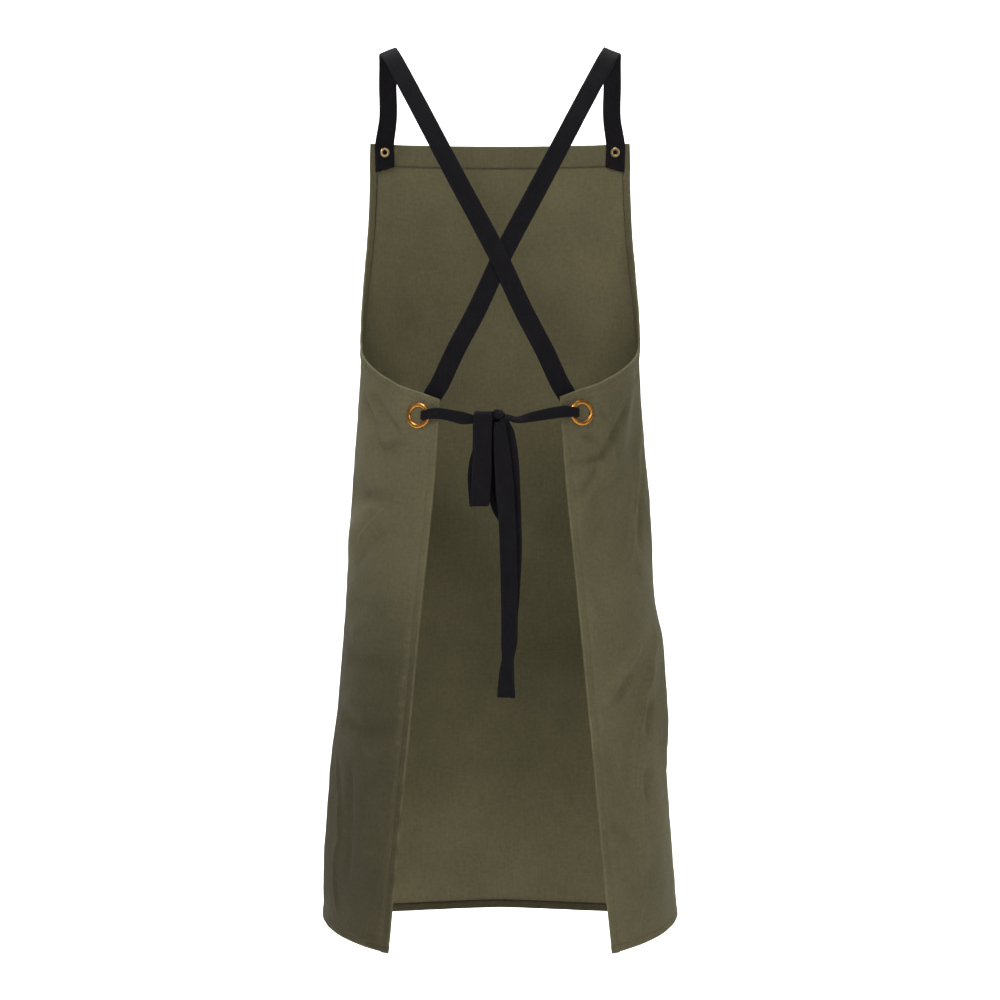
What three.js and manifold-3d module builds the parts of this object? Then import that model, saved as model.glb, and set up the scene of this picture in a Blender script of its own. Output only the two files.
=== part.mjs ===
// A cross back apron, held in the shape that it has when it is worn and tied.
// Millimetres, +Z up, the front of the apron faces -Y, the wearer's left is +X.
// The origin is midway between the two strap tops, at the height of their inner edges.

import * as THREE from 'three';
import { mergeVertices } from 'three/addons/utils/BufferGeometryUtils.js';
import Module from 'manifold-3d';

const wasm = await Module();
wasm.setup();

// Driving dimensions of the cloth.
const bibTopDrop = 97;
const apronLength = 862;
const skirtWidth = 391;
const skirtDepth = 205;
const waistDrop = 294;
const clothThickness = 1.2;
const hemThickness = 2.6;
const sideHemWidth = 9.4;
const bottomHemWidth = 9;
const facingWidth = 25;
const rightFlapLift = 3;

// Driving dimensions of the patch pocket on the front.
const pocketTopDrop = 368;
const pocketHeight = 205;
const pocketHalfWidth = 150;
const pocketMouthHem = 20;
const pocketEase = 1.6;

// Driving dimensions of the tapes.
const tapeWidth = 20;
const tapeThickness = 1.5;
const foldedTapeWidth = 10;
const foldedTapeThickness = 3;
const strapSpread = 123;
const strapOverlap = 28;
const strapEdgeInset = 14;
const strapClearance = 0.7;

// Driving dimensions of the eyelets.
const eyeletOuter = 27.6;
const eyeletBore = 17.2;
const eyeletInset = 24;
const eyeletBelowCorner = 16.4;
const smallEyeletOuter = 11;
const smallEyeletBore = 5;
const smallEyeletDrop = 9.5;
const barrelWall = 0.8;
const flangeThickness = 1.2;
const seatDepth = 6;

// Driving dimensions of the bow.
const knotWidth = 20;
const knotDepth = 14;
const knotHeight = 12;
const knotLean = -35;
const knotOffset = -1;
const knotBackY = 104;
const knotBelowWaist = 18;
const loopLength = 94;
const hiddenLoopLength = 109;
const longTailLength = 292;
const shortTailLength = 232;

// Clearances that neighbouring pieces keep.
const gap = 0.3;
const knotClearance = 0.42;
const eyeletBendClearance = 1.5;

// Counts and steps of the meshes.
const mainColumns = 15;
const rowSpacing = 25;
const armholeRowSpacing = 6.5;
const hemStep = 0.8;
const sectionSteps = 60;
const probe = 0.4;
const ringSegments = 20;
const smallRingSegments = 12;
const knotSegments = 12;
const knotRings = 8;
const strapSteps = 2;
const bowSteps = 3;

// Shapes that are the same at every size: how far past its flat radius a pad blends into
// the loose cloth, how much shorter than its depth a bend in an eyelet is, where a strap
// starts to fold for its eyelet and how wide it is there, where along its line a fold
// starts and ends to fade, how much wider than its own width a hem can run aslant, and
// how far into the knot a tie's end goes.
const padBlend = 1.8;
const eyeletBendShare = 0.65;
const entryInset = 0.3;
const entryRise = 0.9;
const entryWidth = 1.5;
const foldFadeStart = 0.2;
const foldFadeEnd = 0.75;
const aslantHemLimit = 3;
const tieEndInKnot = 0.28;
const tieEndWidth = 0.8;

// The body that the cloth wraps, one row for each level. drop is a share of the apron
// length, halfWidth and flapX of the skirt width, sideY, front and back of the skirt
// depth, and flapTurn is in degrees.
const bodyLevels = [
  { drop: 0.000, halfWidth: 0.473, sideY: -0.146, front: 0.254, flapX: 0.155, back: 0.610, flapTurn: 75 },
  { drop: 0.081, halfWidth: 0.455, sideY: -0.088, front: 0.380, flapX: 0.155, back: 0.590, flapTurn: 75 },
  { drop: 0.145, halfWidth: 0.435, sideY: -0.059, front: 0.459, flapX: 0.155, back: 0.580, flapTurn: 75 },
  { drop: 0.209, halfWidth: 0.412, sideY: -0.059, front: 0.483, flapX: 0.155, back: 0.580, flapTurn: 75 },
  { drop: 0.273, halfWidth: 0.392, sideY: -0.085, front: 0.461, flapX: 0.155, back: 0.580, flapTurn: 75 },
  { drop: 0.336, halfWidth: 0.397, sideY: -0.097, front: 0.439, flapX: 0.158, back: 0.571, flapTurn: 75 },
  { drop: 0.463, halfWidth: 0.417, sideY: -0.107, front: 0.420, flapX: 0.180, back: 0.580, flapTurn: 74 },
  { drop: 0.615, halfWidth: 0.438, sideY: -0.122, front: 0.395, flapX: 0.215, back: 0.593, flapTurn: 73 },
  { drop: 0.819, halfWidth: 0.471, sideY: -0.151, front: 0.351, flapX: 0.260, back: 0.616, flapTurn: 71 },
  { drop: 1.000, halfWidth: 0.500, sideY: -0.176, front: 0.312, flapX: 0.300, back: 0.639, flapTurn: 70 },
];

// Where the side edge runs: drop is a share of the way from the bib top to the flap's
// corner, and reach is 0 at the front centre, 1 at the side and 2 at a flap's back edge.
const sideEdge = [
  { drop: 0.000, reach: 0.577 },
  { drop: 0.238, reach: 0.620 },
  { drop: 0.426, reach: 0.690 },
  { drop: 0.613, reach: 0.810 },
  { drop: 0.740, reach: 0.940 },
  { drop: 0.800, reach: 1.080 },
  { drop: 0.853, reach: 1.300 },
  { drop: 0.939, reach: 1.667 },
  { drop: 0.981, reach: 1.900 },
  { drop: 1.000, reach: 2.000 },
];

// How far the hem hangs below its level, as a share of the apron length, at shares of
// the half girth.
const hemLine = [
  { girth: 0.00, fall: 0.000 },
  { girth: 0.35, fall: 0.002 },
  { girth: 0.56, fall: -0.007 },
  { girth: 0.80, fall: 0.002 },
  { girth: 1.00, fall: 0.013 },
];

// Ridges and valleys of the cloth, each along a line between two ends. side is +1 on the
// wearer's left, girth is a share of the half girth, drop of the apron length, and width
// and height are shares of the skirt depth.
const foldRows = [
  { side: 1, girth1: 0.68, drop1: 0.345, girth2: 0.82, drop2: 0.385, width: 0.060, height: -0.022 },
  { side: 1, girth1: 0.74, drop1: 0.405, girth2: 0.86, drop2: 0.392, width: 0.060, height: -0.016 },
  { side: 1, girth1: 0.60, drop1: 0.458, girth2: 0.76, drop2: 0.458, width: 0.110, height: -0.030 },
  { side: 1, girth1: 0.78, drop1: 0.470, girth2: 0.60, drop2: 0.520, width: 0.090, height: 0.020 },
  { side: 1, girth1: 0.62, drop1: 0.760, girth2: 0.64, drop2: 0.960, width: 0.100, height: 0.022 },
  { side: -1, girth1: 0.62, drop1: 0.320, girth2: 0.74, drop2: 0.420, width: 0.090, height: -0.032 },
  { side: -1, girth1: 0.76, drop1: 0.420, girth2: 0.92, drop2: 0.415, width: 0.070, height: -0.016 },
  { side: -1, girth1: 0.63, drop1: 0.430, girth2: 0.62, drop2: 0.540, width: 0.090, height: 0.020 },
  { side: -1, girth1: 0.56, drop1: 0.610, girth2: 0.66, drop2: 0.790, width: 0.100, height: 0.032 },
  { side: -1, girth1: 0.60, drop1: 0.630, girth2: 0.78, drop2: 0.690, width: 0.080, height: 0.018 },
];

// The strap's way over the wearer's shoulder and across the back. across is a share of
// the strap spread, depth of the skirt depth, drop of the way from shoulder to waist, and
// turn says which way the tape faces: 0 to the front, 90 up, 180 to the back.
const strapRows = [
  { across: 1.024, depth: -0.254, drop: 0.1790, turn: 14 },
  { across: 1.016, depth: -0.200, drop: 0.0970, turn: 26 },
  { across: 1.008, depth: -0.137, drop: 0.0330, turn: 48 },
  { across: 1.003, depth: -0.059, drop: 0.0107, turn: 88 },
  { across: 0.974, depth: 0.010, drop: 0.0260, turn: 115 },
  { across: 0.930, depth: 0.062, drop: 0.0520, turn: 126 },
  { across: 0.736, depth: 0.205, drop: 0.1730, turn: 140 },
  { across: 0.547, depth: 0.322, drop: 0.2930, turn: 156 },
  { across: 0.316, depth: 0.415, drop: 0.4360, turn: 168 },
  { across: 0.132, depth: 0.458, drop: 0.5460, turn: 175 },
  { across: 0.000, depth: 0.473, drop: 0.6276, turn: 180 },
  { across: -0.199, depth: 0.474, drop: 0.7620, turn: 182 },
  { across: -0.378, depth: 0.454, drop: 0.8680, turn: 184 },
  { across: -0.516, depth: 0.426, drop: 0.9590, turn: 186 },
  { across: -0.580, depth: 0.415, drop: 0.9920, turn: 187 },
];
const shoulderTilt = 0.42;
const crossingReach = 60;
const crossingClearance = 1;

// A tie's way from its eyelet to the knot, for the wearer's left and right. along is a
// share of the way, lift and out are shares of the folded tape's width, and roll turns
// the tape about its length in degrees.
const leftTieRows = [
  { along: 0.16, lift: 0.20, out: 0.40, roll: 0, width: 1.14 },
  { along: 0.34, lift: 0.06, out: 0.36, roll: 0, width: 1.18 },
  { along: 0.54, lift: -0.24, out: 0.18, roll: 2, width: 1.34 },
  { along: 0.70, lift: -0.34, out: 0.08, roll: 3, width: 0.94 },
  { along: 0.88, lift: -0.26, out: 0.02, roll: 3, width: 0.76 },
];
const rightTieRows = [
  { along: 0.16, lift: 0.14, out: 0.40, roll: 0, width: 1.22 },
  { along: 0.34, lift: 0.04, out: 0.38, roll: -6, width: 1.22 },
  { along: 0.62, lift: -0.20, out: 0.20, roll: -20, width: 1.14 },
  { along: 0.86, lift: -0.40, out: 0.04, roll: -50, width: 0.80 },
];

// The loops and tails below the knot. across and out are shares of the tape width from
// the knot's centre, fall is a share of the piece's own length, width is a share of the
// tape width, and face is the tape's turn about its length in degrees.
const loopRows = [
  { across: 0.70, out: -0.26, fall: 0.040, width: 0.72, face: 0 },
  { across: 0.78, out: -0.26, fall: -0.015, width: 0.78, face: 0 },
  { across: 0.86, out: -0.14, fall: -0.058, width: 0.84, face: 0 },
  { across: 0.92, out: 0.12, fall: -0.056, width: 0.92, face: 0 },
  { across: 0.95, out: 0.26, fall: 0.030, width: 1.00, face: 0 },
  { across: 0.97, out: 0.28, fall: 0.300, width: 1.00, face: 0 },
  { across: 1.00, out: 0.34, fall: 0.660, width: 1.02, face: -2 },
  { across: 1.09, out: 0.32, fall: 0.920, width: 1.00, face: -5 },
  { across: 1.13, out: 0.12, fall: 0.990, width: 0.98, face: -7 },
  { across: 1.17, out: -0.14, fall: 0.920, width: 1.00, face: -8 },
  { across: 1.24, out: -0.24, fall: 0.620, width: 1.00, face: -8 },
  { across: 1.00, out: -0.22, fall: 0.380, width: 0.96, face: -4 },
  { across: 0.56, out: -0.18, fall: 0.190, width: 0.60, face: 0 },
  { across: 0.33, out: -0.16, fall: 0.085, width: 0.36, face: 0 },
];
const hiddenLoopRows = [
  { across: 0.02, out: -0.22, fall: 0.040, width: 0.32, face: 0 },
  { across: 0.16, out: -0.38, fall: 0.200, width: 0.76, face: 0 },
  { across: 0.28, out: -0.42, fall: 0.480, width: 0.92, face: 0 },
  { across: 0.24, out: -0.44, fall: 0.710, width: 0.92, face: 0 },
  { across: 0.04, out: -0.46, fall: 0.860, width: 0.92, face: 0 },
  { across: -0.22, out: -0.48, fall: 0.950, width: 0.86, face: 0 },
  { across: -0.42, out: -0.60, fall: 0.990, width: 0.80, face: 0 },
  { across: -0.46, out: -0.76, fall: 0.930, width: 0.80, face: 0 },
  { across: -0.28, out: -0.78, fall: 0.560, width: 0.84, face: 0 },
  { across: -0.12, out: -0.60, fall: 0.200, width: 0.66, face: 0 },
  { across: -0.04, out: -0.36, fall: 0.050, width: 0.40, face: 0 },
];
const longTailRows = [
  { across: 0.04, out: 0.18, fall: 0.020, width: 0.60, face: 0 },
  { across: 0.04, out: 0.24, fall: 0.055, width: 0.70, face: 6 },
  { across: -0.08, out: 0.29, fall: 0.140, width: 0.90, face: 12 },
  { across: -0.21, out: 0.32, fall: 0.260, width: 0.99, face: 8 },
  { across: -0.33, out: 0.32, fall: 0.380, width: 0.90, face: 6 },
  { across: -0.42, out: 0.31, fall: 0.600, width: 0.87, face: 0 },
  { across: -0.43, out: 0.31, fall: 0.790, width: 0.86, face: -8 },
  { across: -0.36, out: 0.30, fall: 0.860, width: 0.80, face: -38 },
  { across: -0.28, out: 0.28, fall: 0.930, width: 0.88, face: -24 },
  { across: -0.27, out: 0.26, fall: 1.000, width: 0.94, face: -6 },
];
const shortTailRows = [
  { across: -0.22, out: -0.04, fall: 0.026, width: 0.45, face: 0 },
  { across: -0.38, out: -0.06, fall: 0.080, width: 0.70, face: -10 },
  { across: -0.52, out: -0.06, fall: 0.200, width: 0.86, face: -14 },
  { across: -0.58, out: -0.06, fall: 0.360, width: 0.90, face: -10 },
  { across: -0.64, out: -0.04, fall: 0.590, width: 0.90, face: 0 },
  { across: -0.60, out: -0.04, fall: 0.790, width: 0.80, face: 16 },
  { across: -0.46, out: -0.04, fall: 1.000, width: 0.70, face: 30 },
];

const toRadians = Math.PI / 180;
const shoulderToWaist = bibTopDrop + waistDrop;
const up = new THREE.Vector3(0, 0, 1);

// The smooth weight that falls from 1 at low to 0 at high.
function fade(value, low, high) {
  return 1 - THREE.MathUtils.smoothstep(value, low, high);
}

// The value of a table's column at a place along its key column, on a smooth curve.
function readTable(rows, keyName, valueName, key) {
  let index = 1;
  while (index < rows.length - 1 && rows[index][keyName] < key) index += 1;
  const before = rows[Math.max(index - 2, 0)];
  const start = rows[index - 1];
  const end = rows[index];
  const after = rows[Math.min(index + 1, rows.length - 1)];
  const span = end[keyName] - start[keyName];
  const share = THREE.MathUtils.clamp((key - start[keyName]) / span, 0, 1);
  const startSlope = (end[valueName] - before[valueName]) / (end[keyName] - before[keyName]) * span;
  const endSlope = (after[valueName] - start[valueName]) / (after[keyName] - start[keyName]) * span;
  const square = share * share;
  const cube = square * share;
  return (2 * cube - 3 * square + 1) * start[valueName] + (cube - 2 * square + share) * startSlope
    + (3 * square - 2 * cube) * end[valueName] + (cube - square) * endSlope;
}

// Half of the body's plan at a fall below the bib top: points from the front centre round
// the side to the back edge of a flap, with the length of cloth up to each of them.
function halfSection(fall) {
  const read = (name) => readTable(bodyLevels, 'drop', name, fall / apronLength);
  const halfWidth = read('halfWidth') * skirtWidth;
  const sideY = read('sideY') * skirtDepth;
  const front = read('front') * skirtDepth;
  const flapTurn = read('flapTurn') * toRadians;
  const flapRadius = (halfWidth - read('flapX') * skirtWidth) / (1 - Math.cos(flapTurn));
  const backRadius = read('back') * skirtDepth / Math.sin(flapTurn);
  const points = [];
  for (let step = 0; step <= sectionSteps; step += 1) {
    const angle = step / sectionSteps * Math.PI / 2;
    points.push(new THREE.Vector2(halfWidth * Math.sin(angle), sideY - front * Math.cos(angle)));
  }
  for (let step = 1; step <= sectionSteps; step += 1) {
    const angle = step / sectionSteps * flapTurn;
    const inset = flapRadius * (1 - Math.cos(angle));
    points.push(new THREE.Vector2(halfWidth - inset, sideY + backRadius * Math.sin(angle)));
  }
  const lengths = [0];
  for (let index = 1; index < points.length; index += 1) {
    lengths.push(lengths[index - 1] + points[index].distanceTo(points[index - 1]));
  }
  return { points, lengths };
}

// The point of a half section at a length of cloth from the front centre.
function pointAlong({ points, lengths }, length) {
  let index = 1;
  while (index < lengths.length - 1 && lengths[index] < length) index += 1;
  const share = (length - lengths[index - 1]) / (lengths[index] - lengths[index - 1]);
  return points[index - 1].clone().lerp(points[index], share);
}

// The length of cloth from the front centre to the side edge at a fall.
function edgeLength(fall) {
  const { lengths } = halfSection(fall);
  const share = fall / waistDrop;
  const reach = share >= 1 ? 2 : readTable(sideEdge, 'drop', 'reach', share);
  const place = Math.min(reach * sectionSteps, lengths.length - 1.001);
  const index = Math.floor(place);
  return THREE.MathUtils.lerp(lengths[index], lengths[index + 1], place - index);
}

// How far the folds lift the cloth at a place on it.
function foldHeight(side, girth, drop) {
  let height = 0;
  for (const row of foldRows) {
    if (row.side !== side) continue;
    const start = new THREE.Vector2(row.girth1 * skirtWidth, row.drop1 * apronLength);
    const end = new THREE.Vector2(row.girth2 * skirtWidth, row.drop2 * apronLength);
    const place = new THREE.Vector2(girth * skirtWidth, drop * apronLength).sub(start);
    const line = end.sub(start);
    const along = place.dot(line) / line.lengthSq();
    const nearest = line.clone().multiplyScalar(THREE.MathUtils.clamp(along, 0, 1));
    const away = place.distanceTo(nearest) / (row.width * skirtDepth);
    const ends = fade(Math.abs(along - 0.5), foldFadeStart, foldFadeEnd);
    height += row.height * skirtDepth * Math.exp(-away * away) * ends;
  }
  return height;
}

// How much higher than the left flap the wearer's right one stands at its upper corner.
function flapRise(side, share, drop) {
  if (side > 0) return 0;
  return rightFlapLift * (1 - fade(share, 0.5, 0.85)) * fade(drop, 0.42, 0.75);
}

// The cloth's outer face before it is pressed flat at the eyelets. The girth is signed,
// from the front centre towards the wearer's left.
function looseCloth(girth, fall) {
  const side = girth < 0 ? -1 : 1;
  const section = halfSection(fall);
  const length = Math.abs(girth);
  const fullLength = section.lengths[section.lengths.length - 1];
  const plan = pointAlong(section, length);
  const tangent = pointAlong(section, length + probe).sub(plan).normalize();
  const share = length / fullLength;
  const drop = fall / apronLength;
  const lift = foldHeight(side, share, drop);
  plan.add(new THREE.Vector2(tangent.y, -tangent.x).multiplyScalar(lift));
  const hang = readTable(hemLine, 'girth', 'fall', share) * apronLength * (1 - fade(drop, 0.5, 1));
  const rise = flapRise(side, share, drop);
  return new THREE.Vector3(side * plan.x, plan.y, rise - bibTopDrop - fall - hang);
}

// A pad is a place where an eyelet holds the cloth flat.
function makePad(girth, fall, flatRadius) {
  const centre = looseCloth(girth, fall);
  const alongGirth = looseCloth(girth + probe, fall).sub(centre);
  const alongFall = looseCloth(girth, fall + probe).sub(centre);
  const normal = alongFall.cross(alongGirth).normalize();
  return { centre, normal, flatRadius };
}

const eyeletFall = waistDrop + eyeletBelowCorner;
const eyeletGirth = edgeLength(eyeletFall) - eyeletInset;
const strapGirth = edgeLength(smallEyeletDrop) - strapEdgeInset;
const leftEyeletPad = makePad(eyeletGirth, eyeletFall, eyeletOuter);
const rightEyeletPad = makePad(-eyeletGirth, eyeletFall, eyeletOuter);
const leftStrapPad = makePad(strapGirth, smallEyeletDrop, tapeWidth);
const rightStrapPad = makePad(-strapGirth, smallEyeletDrop, tapeWidth);
const pads = [leftEyeletPad, rightEyeletPad, leftStrapPad, rightStrapPad];

// The cloth's outer face, flat round each eyelet.
function clothPoint(girth, fall) {
  const point = looseCloth(girth, fall);
  for (const { centre, normal, flatRadius } of pads) {
    const offset = point.clone().sub(centre);
    const weight = fade(offset.length(), flatRadius, padBlend * flatRadius);
    point.addScaledVector(normal, -offset.dot(normal) * weight);
  }
  return point;
}

// The outward direction of the cloth at a place.
function clothNormal(girth, fall) {
  const alongGirth = clothPoint(girth + probe, fall).sub(clothPoint(girth - probe, fall));
  const alongFall = clothPoint(girth, fall + probe).sub(clothPoint(girth, fall - probe));
  return alongFall.cross(alongGirth).normalize();
}

// A closed geometry from positions and triangles, turned to face outwards.
function closedGeometry(positions, triangles) {
  let volume = 0;
  for (const [a, b, c] of triangles) {
    volume += positions[a].dot(positions[b].clone().cross(positions[c]));
  }
  const faces = volume < 0 ? triangles.map(([a, b, c]) => [a, c, b]) : triangles;
  const geometry = new THREE.BufferGeometry().setFromPoints(positions);
  geometry.setIndex(faces.flat());
  return geometry;
}

// A sheet with thickness, from two grids of points with the same rows and columns.
function sheetGeometry(outer, inner) {
  const rows = outer.length;
  const columns = outer[0].length;
  const positions = [...outer.flat(), ...inner.flat()];
  const outerAt = (row, column) => row * columns + column;
  const innerAt = (row, column) => rows * columns + outerAt(row, column);
  const triangles = [];
  for (let row = 0; row < rows - 1; row += 1) {
    for (let column = 0; column < columns - 1; column += 1) {
      for (const [at, turned] of [[outerAt, false], [innerAt, true]]) {
        const corner = at(row, column);
        const below = at(row + 1, column);
        const beside = at(row, column + 1);
        const far = at(row + 1, column + 1);
        const crossed = outer[row][column].distanceTo(outer[row + 1][column + 1])
          < outer[row][column + 1].distanceTo(outer[row + 1][column]) - 1;
        const pair = crossed
          ? [[corner, below, far], [corner, far, beside]]
          : [[corner, below, beside], [beside, below, far]];
        triangles.push(...pair.map(([a, b, c]) => (turned ? [a, c, b] : [a, b, c])));
      }
    }
  }
  const rim = [];
  for (let column = 0; column < columns - 1; column += 1) rim.push([0, column]);
  for (let row = 0; row < rows - 1; row += 1) rim.push([row, columns - 1]);
  for (let column = columns - 1; column > 0; column -= 1) rim.push([rows - 1, column]);
  for (let row = rows - 1; row > 0; row -= 1) rim.push([row, 0]);
  rim.forEach((place, index) => {
    const next = rim[(index + 1) % rim.length];
    triangles.push([outerAt(...place), outerAt(...next), innerAt(...next)]);
    triangles.push([outerAt(...place), innerAt(...next), innerAt(...place)]);
  });
  return closedGeometry(positions, triangles);
}

// Numbers from each of the given places to the next, no further apart than the spacing.
function subdivide(places, spacingAt) {
  const result = [places[0]];
  for (let index = 1; index < places.length; index += 1) {
    const start = places[index - 1];
    const span = places[index] - start;
    const count = Math.max(1, Math.round(span / spacingAt(start)));
    for (let step = 1; step <= count; step += 1) result.push(start + span * step / count);
  }
  return result;
}

// The falls of the cloth's rows, with one at each hem, corner and pocket edge.
const pocketBottomDrop = pocketTopDrop + pocketHeight;
const armholeTurn = 0.74 * waistDrop;
const clothFalls = subdivide([
  0, facingWidth - hemStep, facingWidth, armholeTurn, waistDrop, eyeletFall + eyeletBelowCorner,
  pocketTopDrop, pocketTopDrop + pocketMouthHem, pocketBottomDrop,
  apronLength - bottomHemWidth, apronLength - bottomHemWidth + hemStep, apronLength,
], (start) => (start >= armholeTurn && start < waistDrop ? armholeRowSpacing : rowSpacing));

// The width of the side hem along a row, which grows where the edge runs aslant.
function hemAlongRow(fall) {
  if (fall >= waistDrop) return sideHemWidth;
  const slope = (edgeLength(fall) - edgeLength(fall - probe)) / probe;
  return sideHemWidth * Math.min(Math.hypot(1, slope), aslantHemLimit);
}

// The girths of the cloth's columns at a row, from the right edge to the left one.
function clothGirths(fall) {
  const edge = edgeLength(fall);
  const hem = edge - hemAlongRow(fall);
  const half = [];
  for (let column = 1; column <= mainColumns; column += 1) half.push(hem * column / mainColumns);
  half.push(hem + hemStep, edge);
  return [...half.map((girth) => -girth).reverse(), 0, ...half];
}

// The cloth's thickness at a place of the grid: hems and facing are folded over.
function thicknessAt(fall, column, lastColumn) {
  const inFacing = fall < facingWidth - hemStep / 2;
  const inBottomHem = fall > apronLength - bottomHemWidth + hemStep / 2;
  const inSideHem = column < 2 || column > lastColumn - 2;
  return inFacing || inBottomHem || inSideHem ? hemThickness : clothThickness;
}

function apronCloth() {
  const outer = [];
  const inner = [];
  for (const fall of clothFalls) {
    const girths = clothGirths(fall);
    const face = girths.map((girth) => clothPoint(girth, fall));
    outer.push(face);
    inner.push(face.map((point, column) => {
      const thickness = thicknessAt(fall, column, girths.length - 1);
      return point.clone().addScaledVector(clothNormal(girths[column], fall), -thickness);
    }));
  }
  return sheetGeometry(outer, inner);
}

// The patch pocket lies on the cloth's outer face, on the same grid of rows and columns,
// and stands a little proud towards its mouth.
function pocketPatch() {
  const outer = [];
  const inner = [];
  const falls = clothFalls.filter((fall) => fall >= pocketTopDrop && fall <= pocketBottomDrop);
  for (const fall of falls) {
    const girths = clothGirths(fall).filter((girth) => Math.abs(girth) <= pocketHalfWidth);
    const mouth = fade(fall - pocketTopDrop, 0, pocketHeight / 2);
    const thickness = fall <= pocketTopDrop + pocketMouthHem ? hemThickness : clothThickness;
    const lay = (girth, height) => {
      const edge = fade(Math.abs(girth), pocketHalfWidth / 3, pocketHalfWidth * 0.9);
      const ease = pocketEase * mouth * edge;
      const point = clothPoint(girth, fall);
      return point.addScaledVector(clothNormal(girth, fall), gap + ease + height);
    };
    inner.push(girths.map((girth) => lay(girth, 0)));
    outer.push(girths.map((girth) => lay(girth, thickness)));
  }
  return sheetGeometry(outer, inner);
}

// A tape swept through stations, each with a centre, a face direction, a width and a
// thickness. Growth makes the same tape larger all round, to cut room for it.
function tapeGeometry(stations, stepsPerSpan, growth = 0) {
  const route = new THREE.CatmullRomCurve3(stations.map((station) => station.centre));
  const count = (stations.length - 1) * stepsPerSpan;
  const positions = [];
  const triangles = [];
  for (let step = 0; step <= count; step += 1) {
    const place = step / stepsPerSpan;
    const index = Math.min(Math.floor(place), stations.length - 2);
    const [start, end] = [stations[index], stations[index + 1]];
    const share = place - index;
    const centre = route.getPoint(step / count);
    const tangent = route.getTangent(step / count);
    if (step === 0) centre.addScaledVector(tangent, -growth);
    if (step === count) centre.addScaledVector(tangent, growth);
    const face = start.face.clone().lerp(end.face, share);
    const across = new THREE.Vector3().crossVectors(face, tangent).normalize();
    const outward = new THREE.Vector3().crossVectors(tangent, across).normalize();
    const halfWidth = THREE.MathUtils.lerp(start.width, end.width, share) / 2 + growth;
    const halfThickness = THREE.MathUtils.lerp(start.thickness, end.thickness, share) / 2 + growth;
    for (const [i, j] of [[-1, -1], [1, -1], [1, 1], [-1, 1]]) {
      positions.push(centre.clone().addScaledVector(across, i * halfWidth)
        .addScaledVector(outward, j * halfThickness));
    }
    if (step === 0) continue;
    const ring = step * 4;
    for (let corner = 0; corner < 4; corner += 1) {
      const next = (corner + 1) % 4;
      triangles.push([ring - 4 + corner, ring - 4 + next, ring + next]);
      triangles.push([ring - 4 + corner, ring + next, ring + corner]);
    }
  }
  const last = count * 4;
  triangles.push([0, 2, 1], [0, 3, 2], [last, last + 1, last + 2], [last, last + 2, last + 3]);
  return closedGeometry(positions, triangles);
}

function station(centre, face, width, thickness) {
  return { centre, face, width, thickness };
}

// The stretch of a strap that lies on the inside of the bib, from its raw end up.
function bibStations(side) {
  const pad = side > 0 ? leftStrapPad : rightStrapPad;
  const girth = side * strapGirth;
  const lift = hemThickness + strapClearance + tapeThickness / 2;
  return [strapOverlap, strapOverlap / 2, 2].map((fall) => {
    const centre = clothPoint(girth, fall).addScaledVector(clothNormal(girth, fall), -lift);
    return station(centre, pad.normal, tapeWidth, tapeThickness);
  });
}

// The stretch over the shoulder and across the back. The strap that starts on the
// wearer's left lies over the other one where they cross.
function backStations(side) {
  const crossing = (tapeThickness + crossingClearance) / 2;
  return strapRows.map(({ across, depth, drop, turn }) => {
    const angle = turn * toRadians;
    const fall = drop * shoulderToWaist;
    const nearCrossing = fade(Math.abs(across * strapSpread), crossingReach / 3, crossingReach);
    const centre = new THREE.Vector3(
      side * across * strapSpread,
      depth * skirtDepth + side * crossing * nearCrossing,
      -fall,
    );
    const tilt = side * shoulderTilt * Math.sin(angle) * Math.max(across, 0);
    const face = new THREE.Vector3(tilt, -Math.cos(angle), Math.sin(angle)).normalize();
    return station(centre, face, tapeWidth, tapeThickness);
  });
}

// The bend through a large eyelet: from behind the flap, through the bore and back
// towards the knot, round the strip of cloth beside the hole.
function eyeletStations(side) {
  const pad = side > 0 ? leftEyeletPad : rightEyeletPad;
  const inward = new THREE.Vector3().crossVectors(up, pad.normal).multiplyScalar(side).normalize();
  const stack = clothThickness + 2 * gap + 2 * flangeThickness;
  const radius = (stack + foldedTapeThickness) / 2 + eyeletBendClearance;
  const reach = eyeletBendShare * radius;
  const boreWall = Math.sqrt(eyeletBore ** 2 - foldedTapeWidth ** 2) / 2;
  const bendInset = boreWall - 2 * gap - foldedTapeThickness / 2 + reach;
  const place = (along, out, rise) => pad.centre.clone().addScaledVector(inward, along)
    .addScaledVector(pad.normal, out).addScaledVector(up, rise);
  const behind = -clothThickness / 2 - radius;
  const result = [station(
    place(bendInset + entryInset * foldedTapeWidth, behind, entryRise * foldedTapeWidth),
    pad.normal.clone(),
    entryWidth * foldedTapeWidth,
    (tapeThickness + foldedTapeThickness) / 2,
  )];
  for (const degrees of [0, 45, 90, 135, 180]) {
    const angle = degrees * toRadians;
    const centre = place(
      bendInset - reach * Math.sin(angle),
      -clothThickness / 2 - radius * Math.cos(angle),
      0,
    );
    const face = pad.normal.clone().multiplyScalar(Math.cos(angle))
      .addScaledVector(inward, Math.sin(angle));
    result.push(station(centre, face, foldedTapeWidth, foldedTapeThickness));
  }
  return result;
}

const knotCentre = new THREE.Vector3(knotOffset, knotBackY, -shoulderToWaist - knotBelowWaist);

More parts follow.
